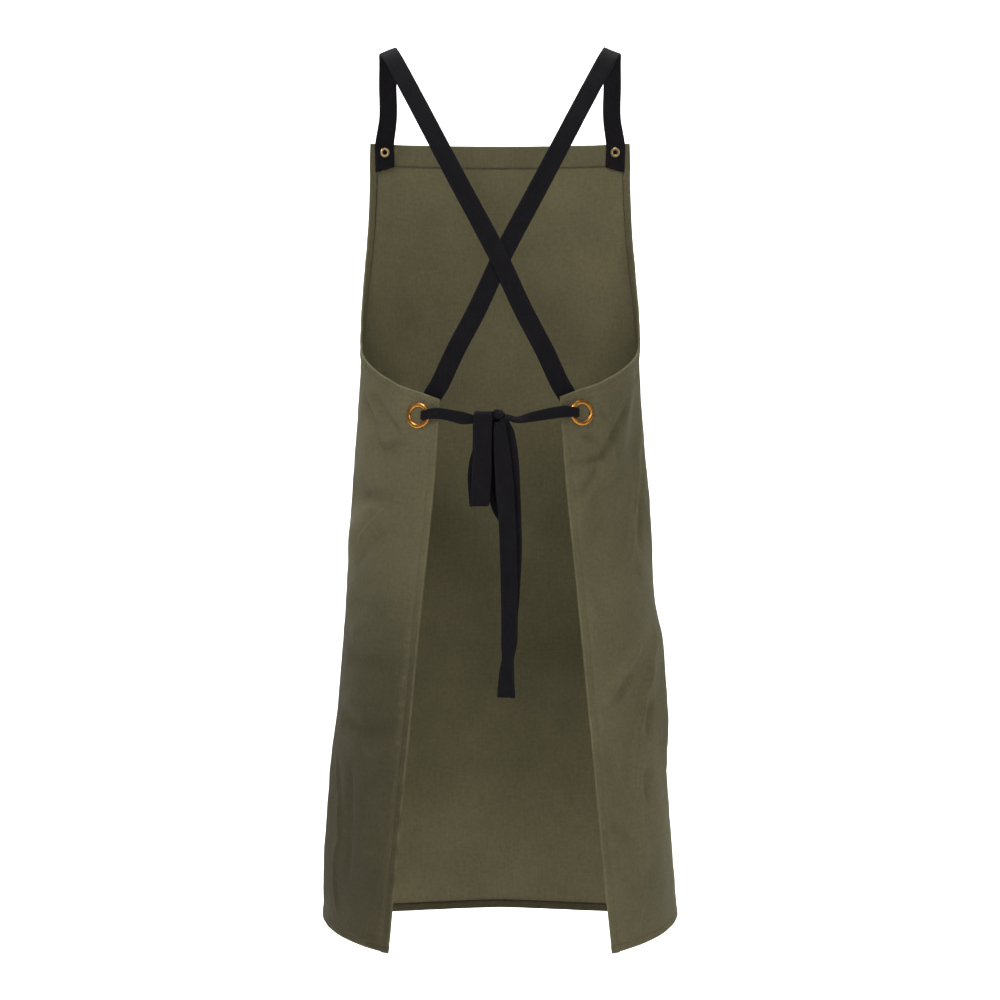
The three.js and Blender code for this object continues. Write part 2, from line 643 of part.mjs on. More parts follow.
// The tie from an eyelet into the knot.
function tieStations(side, start) {
  const rows = side > 0 ? leftTieRows : rightTieRows;
  const end = knotCentre.clone().addScaledVector(new THREE.Vector3(side, 0, 0), tieEndInKnot * knotWidth);
  const outside = new THREE.Vector3(0, -1, 0);
  const result = rows.map(({ along, lift, out, roll, width }) => {
    const centre = start.clone().lerp(end, along);
    centre.add(new THREE.Vector3(0, out, lift).multiplyScalar(foldedTapeWidth));
    const face = outside.clone().applyAxisAngle(new THREE.Vector3(side, 0, 0), roll * toRadians);
    return station(centre, face, width * foldedTapeWidth, foldedTapeThickness);
  });
  const last = result[result.length - 1];
  result.push(station(end, last.face, tieEndWidth * last.width, foldedTapeThickness));
  return result;
}

// A whole strap: it is sewn to the bib on one side, goes over that shoulder, crosses the
// back and leaves through the other side's eyelet as a waist tie.
function strapStations(side) {
  const throughEyelet = eyeletStations(-side);
  const start = throughEyelet[throughEyelet.length - 1].centre;
  return [...bibStations(side), ...backStations(side), ...throughEyelet, ...tieStations(-side, start)];
}

// The stations of a loop or tail below the knot.
function bowStations(rows, length) {
  const route = rows.map(({ across, out, fall }) => knotCentre.clone()
    .add(new THREE.Vector3(across * tapeWidth, out * tapeWidth, -fall * length)));
  return rows.map(({ width, face }, index) => {
    const before = route[Math.max(index - 1, 0)];
    const after = route[Math.min(index + 1, route.length - 1)];
    const tangent = after.clone().sub(before).normalize();
    const acrossTape = new THREE.Vector3(Math.cos(face * toRadians), Math.sin(face * toRadians), 0);
    const outward = new THREE.Vector3().crossVectors(acrossTape, tangent).normalize();
    return station(route[index], outward, width * tapeWidth, tapeThickness);
  });
}

// Booleans work on merged meshes that hold positions only.
function toSolid(geometry) {
  const plain = new THREE.BufferGeometry();
  plain.setAttribute('position', geometry.getAttribute('position'));
  if (geometry.index) plain.setIndex(geometry.index);
  const merged = mergeVertices(plain, 1e-5);
  return new wasm.Manifold(new wasm.Mesh({
    numProp: 3,
    vertProperties: new Float32Array(merged.getAttribute('position').array),
    triVerts: new Uint32Array(merged.index.array),
  }));
}

function toGeometry(solid) {
  const { vertProperties, triVerts } = solid.getMesh();
  const geometry = new THREE.BufferGeometry();
  geometry.setAttribute('position', new THREE.BufferAttribute(new Float32Array(vertProperties), 3));
  geometry.setIndex(new THREE.BufferAttribute(new Uint32Array(triVerts), 1));
  return geometry;
}

// Moves a shape made round the Y axis to a pad, with +Y along the pad's outward normal.
function placeAtPad(geometry, pad, offset) {
  const turn = new THREE.Quaternion().setFromUnitVectors(new THREE.Vector3(0, 1, 0), pad.normal);
  const centre = pad.centre.clone().addScaledVector(pad.normal, offset);
  return geometry.applyMatrix4(new THREE.Matrix4().compose(centre, turn, new THREE.Vector3(1, 1, 1)));
}

// The room that an eyelet needs in what it clamps: its barrel's bore, and flat seats for
// its two flanges outside the given levels along the pad's normal.
function eyeletRoom(pad, outer, bore, low, high, segments) {
  const barrel = new THREE.CylinderGeometry(bore / 2 + barrelWall + gap, bore / 2 + barrelWall + gap,
    4 * seatDepth, segments);
  let room = toSolid(placeAtPad(barrel, pad, 0));
  for (const offset of [high + seatDepth / 2, low - seatDepth / 2]) {
    const seat = new THREE.CylinderGeometry(outer / 2 + gap, outer / 2 + gap, seatDepth, segments);
    room = room.add(toSolid(placeAtPad(seat, pad, offset)));
  }
  return room;
}

// An eyelet as one ring: a barrel with a rounded flange outside and a flat one inside.
function eyeletRing(pad, outer, bore, low, high, segments) {
  const inner = bore / 2;
  const rim = outer / 2;
  const crown = flangeThickness;
  const profile = [
    [inner, low - 0.7 * crown],
    [inner + 0.4 * barrelWall, low - crown],
    [rim - crown, low - crown],
    [rim, low - gap],
    [inner + barrelWall, low - gap],
    [inner + barrelWall, high + gap],
    [rim, high + gap],
    [rim - 0.3 * crown, high + 0.9 * crown],
    [(inner + rim) / 2, high + 1.25 * crown],
    [inner + 0.5 * barrelWall, high + 0.9 * crown],
    [inner, high + gap],
    [inner, low - 0.7 * crown],
  ].map(([radius, height]) => new THREE.Vector2(radius, height));
  return toGeometry(toSolid(placeAtPad(new THREE.LatheGeometry(profile, segments), pad, 0)));
}

// The inner level that each kind of eyelet clamps, along its pad's outward normal.
const eyeletLow = -clothThickness - gap / 2;
const smallEyeletLow = -hemThickness - strapClearance - tapeThickness;

const waistRooms = [leftEyeletPad, rightEyeletPad].map((pad) => (
  eyeletRoom(pad, eyeletOuter, eyeletBore, eyeletLow, 0, ringSegments)));
const bibRooms = [leftStrapPad, rightStrapPad].map((pad) => (
  eyeletRoom(pad, smallEyeletOuter, smallEyeletBore, smallEyeletLow, 0, smallRingSegments)));

function knotGeometry(tapes) {
  const lump = new THREE.SphereGeometry(0.5, knotSegments, knotRings);
  lump.scale(knotWidth, knotDepth, knotHeight);
  lump.rotateY(knotLean * toRadians);
  lump.translate(knotCentre.x, knotCentre.y, knotCentre.z);
  let solid = toSolid(lump);
  for (const { stations, steps } of tapes) {
    solid = solid.subtract(toSolid(tapeGeometry(stations, steps, knotClearance)));
  }
  return toGeometry(solid);
}

const canvas = new THREE.MeshStandardMaterial({ color: 0x5f5842, roughness: 0.92, metalness: 0 });
const tape = new THREE.MeshStandardMaterial({ color: 0x24232a, roughness: 0.95, metalness: 0 });
const brass = new THREE.MeshStandardMaterial({ color: 0xb0702a, roughness: 0.28, metalness: 1 });

const apron = new THREE.Group();

function addPiece(name, geometry, material) {
  geometry.computeVertexNormals();
  const mesh = new THREE.Mesh(geometry, material);
  mesh.name = name;
  apron.add(mesh);
}

const cutAll = (solid, rooms) => rooms.reduce((rest, room) => rest.subtract(room), solid);
const leftStrap = { stations: strapStations(1), steps: strapSteps };
const rightStrap = { stations: strapStations(-1), steps: strapSteps };
const bowTapes = [
  { name: 'bow_loop', stations: bowStations(loopRows, loopLength), steps: bowSteps },
  { name: 'hidden_loop', stations: bowStations(hiddenLoopRows, hiddenLoopLength), steps: bowSteps },
  { name: 'long_tail', stations: bowStations(longTailRows, longTailLength), steps: bowSteps },
  { name: 'short_tail', stations: bowStations(shortTailRows, shortTailLength), steps: bowSteps },
];

const panel = cutAll(toSolid(apronCloth()), [...waistRooms, ...bibRooms]);
addPiece('apron_panel', toGeometry(panel), canvas);
addPiece('front_pocket', pocketPatch(), canvas);
for (const [name, { stations, steps }] of [['left_strap', leftStrap], ['right_strap', rightStrap]]) {
  addPiece(name, toGeometry(cutAll(toSolid(tapeGeometry(stations, steps)), bibRooms)), tape);
}
addPiece('waist_knot', knotGeometry([leftStrap, rightStrap, ...bowTapes]), tape);
for (const { name, stations, steps } of bowTapes) addPiece(name, tapeGeometry(stations, steps), tape);
for (const [name, pad] of [['left_eyelet', leftEyeletPad], ['right_eyelet', rightEyeletPad]]) {
  addPiece(name, eyeletRing(pad, eyeletOuter, eyeletBore, eyeletLow, 0, ringSegments), brass);
}
for (const [name, pad] of [['left_bib_eyelet', leftStrapPad], ['right_bib_eyelet', rightStrapPad]]) {
  addPiece(name, eyeletRing(pad, smallEyeletOuter, smallEyeletBore, smallEyeletLow, 0,
    smallRingSegments), brass);
}

export default apron;
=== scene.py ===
"""A cross back apron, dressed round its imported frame.

Sizes are in millimetres inside the classes and in metres in the meshes. +Z is up, the
front of the apron faces -Y and the wearer's left is +X. The origin is midway between the
two strap tops. The camera looks at the apron's back.
"""

import logging
import math
from dataclasses import dataclass
from enum import Enum
from functools import cached_property
from typing import Sequence

import bpy
import numpy as np
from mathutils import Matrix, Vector


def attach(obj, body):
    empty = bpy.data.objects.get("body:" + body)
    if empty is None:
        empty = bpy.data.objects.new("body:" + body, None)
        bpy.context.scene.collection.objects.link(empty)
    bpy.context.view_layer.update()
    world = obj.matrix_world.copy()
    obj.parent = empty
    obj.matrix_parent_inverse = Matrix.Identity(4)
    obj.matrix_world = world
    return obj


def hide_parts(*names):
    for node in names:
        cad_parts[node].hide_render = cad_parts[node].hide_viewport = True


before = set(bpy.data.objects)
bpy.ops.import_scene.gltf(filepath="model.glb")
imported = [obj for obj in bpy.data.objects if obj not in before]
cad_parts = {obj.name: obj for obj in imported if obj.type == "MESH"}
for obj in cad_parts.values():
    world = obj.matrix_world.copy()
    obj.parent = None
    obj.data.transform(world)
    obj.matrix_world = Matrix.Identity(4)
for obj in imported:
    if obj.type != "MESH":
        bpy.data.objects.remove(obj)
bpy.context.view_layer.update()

Array = np.ndarray
Socket = bpy.types.NodeSocket
Item = bpy.types.Object
CUT_HALF_WIDTH = 400.0
LOG = logging.getLogger("apron")
MM = 0.001
PROBE = 0.4
SECTION_STEPS = 60

# The body that the cloth wraps. Columns: drop, half width, side y, front, flap x, back,
# flap turn. Drop is a share of the apron length, the lengths are shares of the skirt
# width or depth, and the turn is in degrees.
BODY_LEVELS = np.array([
    [0.000, 0.473, -0.146, 0.254, 0.155, 0.610, 75],
    [0.081, 0.455, -0.088, 0.380, 0.155, 0.590, 75],
    [0.145, 0.435, -0.059, 0.459, 0.155, 0.580, 75],
    [0.209, 0.412, -0.059, 0.483, 0.155, 0.580, 75],
    [0.273, 0.392, -0.085, 0.461, 0.155, 0.580, 75],
    [0.336, 0.397, -0.097, 0.439, 0.158, 0.571, 75],
    [0.463, 0.417, -0.107, 0.420, 0.180, 0.580, 74],
    [0.615, 0.438, -0.122, 0.395, 0.215, 0.593, 73],
    [0.819, 0.471, -0.151, 0.351, 0.260, 0.616, 71],
    [1.000, 0.500, -0.176, 0.312, 0.300, 0.639, 70],
])

# The side edge: share of the way from the bib top to the flap's corner, and the reach,
# which is 0 at the front centre, 1 at the side and 2 at a flap's back edge.
SIDE_EDGE = np.array([
    [0.000, 0.577], [0.238, 0.620], [0.426, 0.690], [0.613, 0.810], [0.740, 0.940],
    [0.800, 1.080], [0.853, 1.300], [0.939, 1.667], [0.981, 1.900], [1.000, 2.000],
])

# How far the hem hangs, as a share of the apron length, at shares of the half girth.
HEM_LINE = np.array([
    [0.00, 0.000], [0.35, 0.002], [0.56, -0.007], [0.80, 0.002], [1.00, 0.013],
])

# Broad ridges and valleys. Columns: side, girth 1, drop 1, girth 2, drop 2, width, height.
# The side is +1 on the wearer's left; width and height are shares of the skirt depth.
BROAD_FOLDS = np.array([
    [1, 0.68, 0.345, 0.82, 0.385, 0.060, -0.022],
    [1, 0.74, 0.405, 0.86, 0.392, 0.060, -0.016],
    [1, 0.60, 0.458, 0.76, 0.458, 0.110, -0.020],
    [1, 0.78, 0.470, 0.60, 0.520, 0.090, 0.013],
    [1, 0.62, 0.760, 0.64, 0.960, 0.100, 0.022],
    [-1, 0.62, 0.320, 0.74, 0.420, 0.090, -0.032],
    [-1, 0.76, 0.420, 0.92, 0.415, 0.070, -0.016],
    [-1, 0.63, 0.430, 0.62, 0.540, 0.090, 0.009],
    [-1, 0.56, 0.610, 0.66, 0.790, 0.100, 0.032],
    [-1, 0.60, 0.630, 0.78, 0.690, 0.080, 0.018],
])

# Fine folds. Columns: side, girth 1, drop 1, girth 2, drop 2, width in mm, height in mm,
# and skew, which makes one flank steeper than the other.
FINE_FOLDS = np.array([
    [1, 0.739, 0.333, 0.808, 0.355, 4.5, -1.6, 0.0], [1, 0.808, 0.355, 0.866, 0.378, 4.5, -2.2, 0.0],
    [1, 0.671, 0.335, 0.739, 0.373, 4.0, -1.1, 0.2], [1, 0.739, 0.373, 0.792, 0.403, 4.0, -1.5, 0.2],
    [1, 0.792, 0.403, 0.904, 0.389, 5.0, -1.8, 0.0], [1, 0.778, 0.383, 0.862, 0.389, 8.0, 1.2, 0.0],
    [1, 0.611, 0.452, 0.850, 0.459, 9.0, -3.0, 0.0], [1, 0.864, 0.469, 0.810, 0.489, 6.0, 2.4, 0.3],
    [1, 0.810, 0.489, 0.733, 0.514, 6.0, 2.2, 0.3], [1, 0.844, 0.498, 0.778, 0.514, 6.0, -1.6, 0.0],
    [1, 0.778, 0.514, 0.719, 0.541, 6.0, -1.8, 0.0], [1, 0.862, 0.504, 0.952, 0.504, 3.5, -0.7, 0.0],
    [1, 0.683, 0.588, 0.882, 0.592, 11.0, -2.0, 0.0], [1, 0.844, 0.612, 0.721, 0.628, 9.0, 1.2, 0.0],
    [1, 0.721, 0.657, 0.950, 0.655, 10.0, -2.4, 0.0], [1, 0.711, 0.714, 0.890, 0.720, 8.0, 1.2, 0.0],
    [1, 0.707, 0.742, 0.956, 0.734, 9.0, -2.6, 0.0], [1, 0.856, 0.768, 0.960, 0.748, 7.0, 2.4, 0.2],
    [1, 0.683, 0.788, 0.737, 0.838, 3.2, 1.4, -0.3], [1, 0.737, 0.838, 0.760, 0.881, 3.2, 1.7, -0.3],
    [1, 0.760, 0.881, 0.737, 0.928, 3.2, 1.7, -0.3], [1, 0.737, 0.928, 0.780, 0.969, 3.2, 1.3, -0.3],
    [1, 0.784, 0.791, 0.812, 0.863, 7.0, -1.4, 0.0], [1, 0.812, 0.863, 0.822, 0.930, 7.0, -1.2, 0.0],
    [1, 0.876, 0.883, 0.942, 0.881, 5.0, 0.8, 0.0], [1, 0.918, 0.893, 0.966, 0.938, 6.0, -0.9, 0.0],
    [-1, 0.621, 0.305, 0.705, 0.338, 4.5, -2.0, 0.0], [-1, 0.705, 0.338, 0.778, 0.368, 5.0, -2.8, 0.0],
    [-1, 0.778, 0.368, 0.834, 0.395, 5.5, -3.0, 0.0], [-1, 0.834, 0.395, 0.864, 0.412, 5.5, -2.6, 0.0],
    [-1, 0.864, 0.412, 0.924, 0.419, 4.0, -2.0, 0.0], [-1, 0.924, 0.419, 0.982, 0.422, 3.5, -1.4, 0.0],
    [-1, 0.675, 0.315, 0.772, 0.352, 4.0, 1.2, 0.0], [-1, 0.872, 0.355, 0.834, 0.369, 5.0, -1.6, 0.0],
    [-1, 0.934, 0.386, 0.866, 0.395, 5.0, -2.0, 0.0], [-1, 0.800, 0.418, 0.906, 0.454, 7.0, 1.8, 0.0],
    [-1, 0.906, 0.454, 0.976, 0.488, 6.0, 1.6, 0.0], [-1, 0.884, 0.425, 0.952, 0.461, 3.2, -1.2, 0.0],
    [-1, 0.868, 0.443, 0.928, 0.469, 3.5, -1.0, 0.0], [-1, 0.870, 0.494, 0.948, 0.511, 6.0, -1.2, 0.0],
    [-1, 0.601, 0.362, 0.673, 0.402, 3.6, 1.4, -0.3], [-1, 0.673, 0.402, 0.739, 0.448, 3.6, 2.0, -0.3],
    [-1, 0.739, 0.448, 0.774, 0.491, 3.6, 2.2, -0.3], [-1, 0.774, 0.491, 0.794, 0.535, 3.6, 1.8, -0.3],
    [-1, 0.627, 0.401, 0.689, 0.452, 5.0, -1.8, 0.0], [-1, 0.689, 0.452, 0.731, 0.521, 5.0, -2.2, 0.0],
    [-1, 0.776, 0.542, 0.747, 0.557, 5.0, -1.2, 0.0], [-1, 0.924, 0.568, 0.914, 0.599, 10.0, -1.2, 0.0],
    [-1, 0.657, 0.628, 0.741, 0.664, 3.6, 2.2, -0.3], [-1, 0.741, 0.664, 0.790, 0.707, 3.6, 2.8, -0.3],
    [-1, 0.790, 0.707, 0.834, 0.744, 3.6, 2.8, -0.3], [-1, 0.834, 0.744, 0.858, 0.785, 3.6, 2.6, -0.3],
    [-1, 0.858, 0.785, 0.880, 0.828, 3.6, 1.8, -0.3], [-1, 0.735, 0.712, 0.780, 0.754, 6.0, -2.0, 0.0],
    [-1, 0.796, 0.790, 0.812, 0.831, 6.0, -2.0, 0.0], [-1, 0.792, 0.639, 0.874, 0.670, 6.0, 2.6, -0.3],
    [-1, 0.874, 0.670, 0.942, 0.701, 6.0, 2.2, -0.3], [-1, 0.824, 0.670, 0.914, 0.701, 5.0, -1.6, 0.0],
    [-1, 0.936, 0.757, 0.936, 0.804, 10.0, -1.4, 0.0], [-1, 0.960, 0.845, 0.894, 0.863, 9.0, -1.8, 0.0],
    [-1, 0.842, 0.876, 0.874, 0.914, 6.0, 1.4, 0.0], [-1, 0.884, 0.947, 0.920, 0.977, 6.0, 1.6, 0.0],
    [1, 0.142, 0.489, 0.078, 0.562, 12.0, -1.2, 0.0], [-1, 0.062, 0.805, 0.090, 0.911, 16.0, -1.5, 0.0],
])

# A strap's way over the shoulder and across the back. Columns: across as a share of the
# strap spread, depth of the skirt depth, drop of the way from shoulder to waist, and the
# turn in degrees: 0 faces the front, 90 up, 180 the back.
STRAP_WAY = np.array([
    [1.014, -0.254, 0.1790, 14], [1.012, -0.200, 0.0970, 26], [1.007, -0.137, 0.0330, 48],
    [1.003, -0.059, 0.0107, 88], [0.974, 0.010, 0.0260, 115], [0.930, 0.062, 0.0520, 126],
    [0.736, 0.205, 0.1730, 140], [0.547, 0.322, 0.2930, 156], [0.316, 0.415, 0.4360, 168],
    [0.132, 0.458, 0.5460, 175], [0.000, 0.473, 0.6276, 180], [-0.199, 0.474, 0.7620, 182],
    [-0.378, 0.454, 0.8680, 184], [-0.516, 0.426, 0.9590, 186], [-0.580, 0.415, 0.9920, 187],
])

# A tie's way from its eyelet to the knot. Columns: along as a share of the way, lift and
# out as shares of the folded tape's width, roll in degrees, and width as a share.
LEFT_TIE = np.array([
    [0.16, 0.20, 0.40, 0, 1.14], [0.34, 0.06, 0.36, 0, 1.18], [0.54, -0.24, 0.18, 2, 1.34],
    [0.70, -0.34, 0.08, 3, 0.94], [0.88, -0.26, 0.02, 3, 0.76],
])
RIGHT_TIE = np.array([
    [0.16, 0.14, 0.40, 0, 1.22], [0.34, 0.04, 0.38, -6, 1.22],
    [0.62, -0.20, 0.20, -20, 1.14], [0.86, -0.40, 0.04, -50, 0.80],
])

# The bow's pieces. Columns: across and out as shares of the tape width from the knot's
# centre, fall as a share of the piece's length, width as a share of the tape width, and
# the tape's turn about its length in degrees.
BOW_LOOP = np.array([
    [0.70, -0.26, 0.040, 0.72, 0], [0.78, -0.26, -0.015, 0.78, 0], [0.86, -0.14, -0.046, 0.84, 0],
    [0.92, 0.12, -0.042, 0.92, 0], [0.95, 0.26, 0.030, 1.00, 0], [0.97, 0.28, 0.300, 1.00, 0],
    [1.00, 0.34, 0.660, 1.02, -2], [1.09, 0.32, 0.920, 1.00, -5], [1.13, 0.12, 0.990, 0.98, -7],
    [1.17, -0.14, 0.920, 1.00, -8], [1.24, -0.24, 0.620, 1.00, -8], [1.00, -0.22, 0.380, 0.96, -4],
    [0.56, -0.18, 0.190, 0.60, 0], [0.33, -0.16, 0.085, 0.36, 0],
])
HIDDEN_LOOP = np.array([
    [0.14, -0.24, 0.010, 0.80, 0], [0.20, -0.38, 0.200, 0.90, 0], [0.28, -0.42, 0.480, 0.92, 0],
    [0.24, -0.44, 0.710, 0.92, 0], [0.04, -0.46, 0.860, 0.92, 0], [-0.22, -0.48, 0.950, 0.86, 0],
    [-0.42, -0.60, 0.990, 0.80, 0], [-0.46, -0.76, 0.930, 0.80, 0], [-0.28, -0.78, 0.560, 0.84, 0],
    [-0.12, -0.60, 0.200, 0.66, 0], [-0.04, -0.36, 0.050, 0.40, 0],
])
LONG_TAIL = np.array([
    [0.04, 0.18, 0.020, 0.60, 0], [0.04, 0.24, 0.055, 0.70, 6], [-0.08, 0.29, 0.140, 0.90, 12],
    [-0.21, 0.32, 0.260, 0.99, 8], [-0.33, 0.32, 0.380, 0.90, 6], [-0.42, 0.31, 0.600, 0.87, 0],
    [-0.43, 0.31, 0.790, 0.86, -8], [-0.36, 0.30, 0.860, 0.80, -38], [-0.28, 0.28, 0.930, 0.88, -24],
    [-0.27, 0.26, 1.000, 0.94, -6],
])
SHORT_TAIL = np.array([
    [-0.22, -0.04, 0.026, 0.45, 0], [-0.38, -0.06, 0.080, 0.70, -10], [-0.52, -0.06, 0.200, 0.86, -14],
    [-0.58, -0.06, 0.360, 0.90, -10], [-0.64, -0.04, 0.590, 0.90, 0], [-0.60, -0.04, 0.790, 0.80, 16],
    [-0.46, -0.04, 1.000, 0.70, 30],
])


class Side(Enum):
    """The wearer's left or right, as the sign of X."""

    LEFT = 1
    RIGHT = -1


class Face(Enum):
    """The outer or the inner face of the cloth, as the sign of its normal."""

    OUTER = 1
    INNER = -1


def fade(value: Array, low: float, high: float) -> Array:
    """Fall smoothly from 1 at low to 0 at high, as one minus smoothstep.

    Args:
        value: The places to weigh.
        low: Where the fall starts.
        high: Where the fall ends.

    Returns:
        One weight for each place.
    """
    share = np.clip((np.asarray(value, float) - low) / (high - low), 0.0, 1.0)
    return 1.0 - share * share * (3.0 - 2.0 * share)


def read_curve(keys: Array, values: Array, at: Array) -> Array:
    """Read a table on a smooth curve: cubic Hermite pieces with central slopes.

    Args:
        keys: The rising key column.
        values: The value column.
        at: Places along the keys.

    Returns:
        One value for each place.
    """
    at = np.asarray(at, float)
    last = len(keys) - 1
    index = np.clip(np.searchsorted(keys, at), 1, last)
    before = np.maximum(index - 2, 0)
    after = np.minimum(index + 1, last)
    start, end = values[index - 1], values[index]
    span = keys[index] - keys[index - 1]
    share = np.clip((at - keys[index - 1]) / span, 0.0, 1.0)
    slope_in = (end - values[before]) / (keys[index] - keys[before]) * span
    slope_out = (values[after] - start) / (keys[after] - keys[index - 1]) * span
    square = share * share
    cube = square * share
    return ((2 * cube - 3 * square + 1) * start + (cube - 2 * square + share) * slope_in
            + (3 * square - 2 * cube) * end + (cube - square) * slope_out)


def unit(vectors: Array) -> Array:
    """Return the vectors with length one."""
    return vectors / np.maximum(np.linalg.norm(vectors, axis=-1, keepdims=True), 1e-12)


def ripples(x: Array, y: Array, wavelength: float, count: int, seed: int, stretch: float = 1.0) -> Array:
    """Add up seeded plane waves of mixed directions: a smooth field near -1 to 1.

    Args:
        x: First coordinate in mm.
        y: Second coordinate in mm.
        wavelength: The waves' middle length in mm.
        count: How many waves are added.
        seed: Seed of their directions, lengths and phases.
        stretch: How much longer the ripples run along y than along x.

    Returns:
        The field's value for each place.
    """
    draw = np.random.default_rng(seed)
    total = np.zeros(np.broadcast(x, y).shape)
    for _ in range(count):
        turn = draw.uniform(0, math.tau)
        wave = math.tau / (wavelength * draw.uniform(0.7, 1.5))
        phase = draw.uniform(0, math.tau)
        total += np.sin(wave * (np.cos(turn) * x + np.sin(turn) * y / stretch) + phase)
    return total / math.sqrt(count)


def make_object(name: str, points: Array, quads: Array, triangles: Array, uv: Array,
                wear_and_shading: Array | None = None) -> Item:
    """Put whole arrays of points and faces into a closed, smooth-shaded mesh object.

    Faces are turned outwards by the sign of the enclosed volume.

    Args:
        name: Name of the object.
        points: Vertices in mm, one row each.
        quads: Faces with four corners.
        triangles: Faces with three corners.
        uv: Pattern coordinates in metres, one row for each vertex.
        wear_and_shading: How much lighter the cloth is at each vertex, to 1, from rubbing and from painted
            light; below 0, how much painted shade darkens it.

    Returns:
        The new object, linked to the scene.
    """
    quads = np.asarray(quads, int).reshape(-1, 4)
    triangles = np.asarray(triangles, int).reshape(-1, 3)
    solid = np.vstack([quads[:, [0, 1, 2]], quads[:, [0, 2, 3]], triangles])
    a, b, c = (points[solid[:, i]] for i in range(3))
    if np.einsum("ij,ij->", a, np.cross(b, c)) < 0:
        quads = quads[:, ::-1]
        triangles = triangles[:, ::-1]
    corners = np.concatenate([quads.ravel(), triangles.ravel()]).astype(np.int32)
    starts = np.concatenate([np.arange(len(quads)) * 4,
                             len(quads) * 4 + np.arange(len(triangles)) * 3]).astype(np.int32)
    mesh = bpy.data.meshes.new(name)
    mesh.vertices.add(len(points))
    mesh.vertices.foreach_set("co", (points * MM).astype(np.float32).ravel())
    mesh.loops.add(len(corners))
    mesh.loops.foreach_set("vertex_index", corners)
    mesh.polygons.add(len(starts))
    mesh.polygons.foreach_set("loop_start", starts)
    mesh.update(calc_edges=True)
    mesh.polygons.foreach_set("use_smooth", np.ones(len(starts), bool))
    layer = mesh.uv_layers.new(name="pattern")
    layer.data.foreach_set("uv", uv[corners].astype(np.float32).ravel())
    if wear_and_shading is not None:
        mark = mesh.attributes.new("wear_and_shading", "FLOAT", "POINT")
        mark.data.foreach_set("value", wear_and_shading.astype(np.float32).ravel())
    mesh.validate()
    item = bpy.data.objects.new(name, mesh)
    bpy.context.scene.collection.objects.link(item)
    return item


def grid_faces(rows: int, columns: int, around: bool = False) -> Array:
    """List the quads of a grid of points.

    Args:
        rows: Number of rows.
        columns: Number of columns.
        around: Whether the last column joins the first one.

    Returns:
        Four indices for each quad.
    """
    row = np.arange(rows - 1)[:, None] * columns
    column = np.arange(columns if around else columns - 1)[None, :]
    beside = (column + 1) % columns
    return np.stack([row + column, row + columns + column,
                     row + columns + beside, row + beside], axis=-1).reshape(-1, 4)


def end_caps(ring: Array, after: Array, last: int, hub: int) -> Array:
    """List the fans that close a tube's two ends.

    Args:
        ring: Index of each point in the first ring.
        after: Index of the point beside each.
        last: Index of the last ring's first point.
        hub: Index of the first end's middle, just before the last end's.

    Returns:
        Three indices for each triangle.
    """
    return np.vstack([np.stack([after, ring, np.full(len(ring), hub)], axis=-1),
                      np.stack([last + ring, last + after, np.full(len(ring), hub + 1)], axis=-1)])


def cut_place(girth: Array, fall: Array) -> Array:
    """Where places lie on the flat cut cloth, in metres, from its left edge."""
    return np.column_stack([girth.ravel() + CUT_HALF_WIDTH, fall.ravel()]) * MM


def shell(outer: Array, inner: Array) -> tuple[Array, Array]:
    """Close two grids of points that lie over each other with a rim.

    Args:
        outer: Points of the outer face, rows by columns.
        inner: Points of the inner face, rows by columns.

    Returns:
        All the points, and the quads of both faces and the rim.
    """
    rows, columns = outer.shape[:2]
    count = rows * columns
    points = np.vstack([outer.reshape(-1, 3), inner.reshape(-1, 3)])
    face = grid_faces(rows, columns)
    index = np.arange(count).reshape(rows, columns)
    rim = np.concatenate([index[0, :-1], index[:-1, -1], index[-1, :0:-1], index[:0:-1, 0]])
    after = np.roll(rim, -1)
    wall = np.stack([rim, after, after + count, rim + count], axis=-1)
    return points, np.vstack([face, face[:, ::-1] + count, wall])


@dataclass(frozen=True)
class Pad:
    """A place where an eyelet holds the cloth flat."""

    centre: Array
    normal: Array
    flat_radius: float
    calm_radius: float


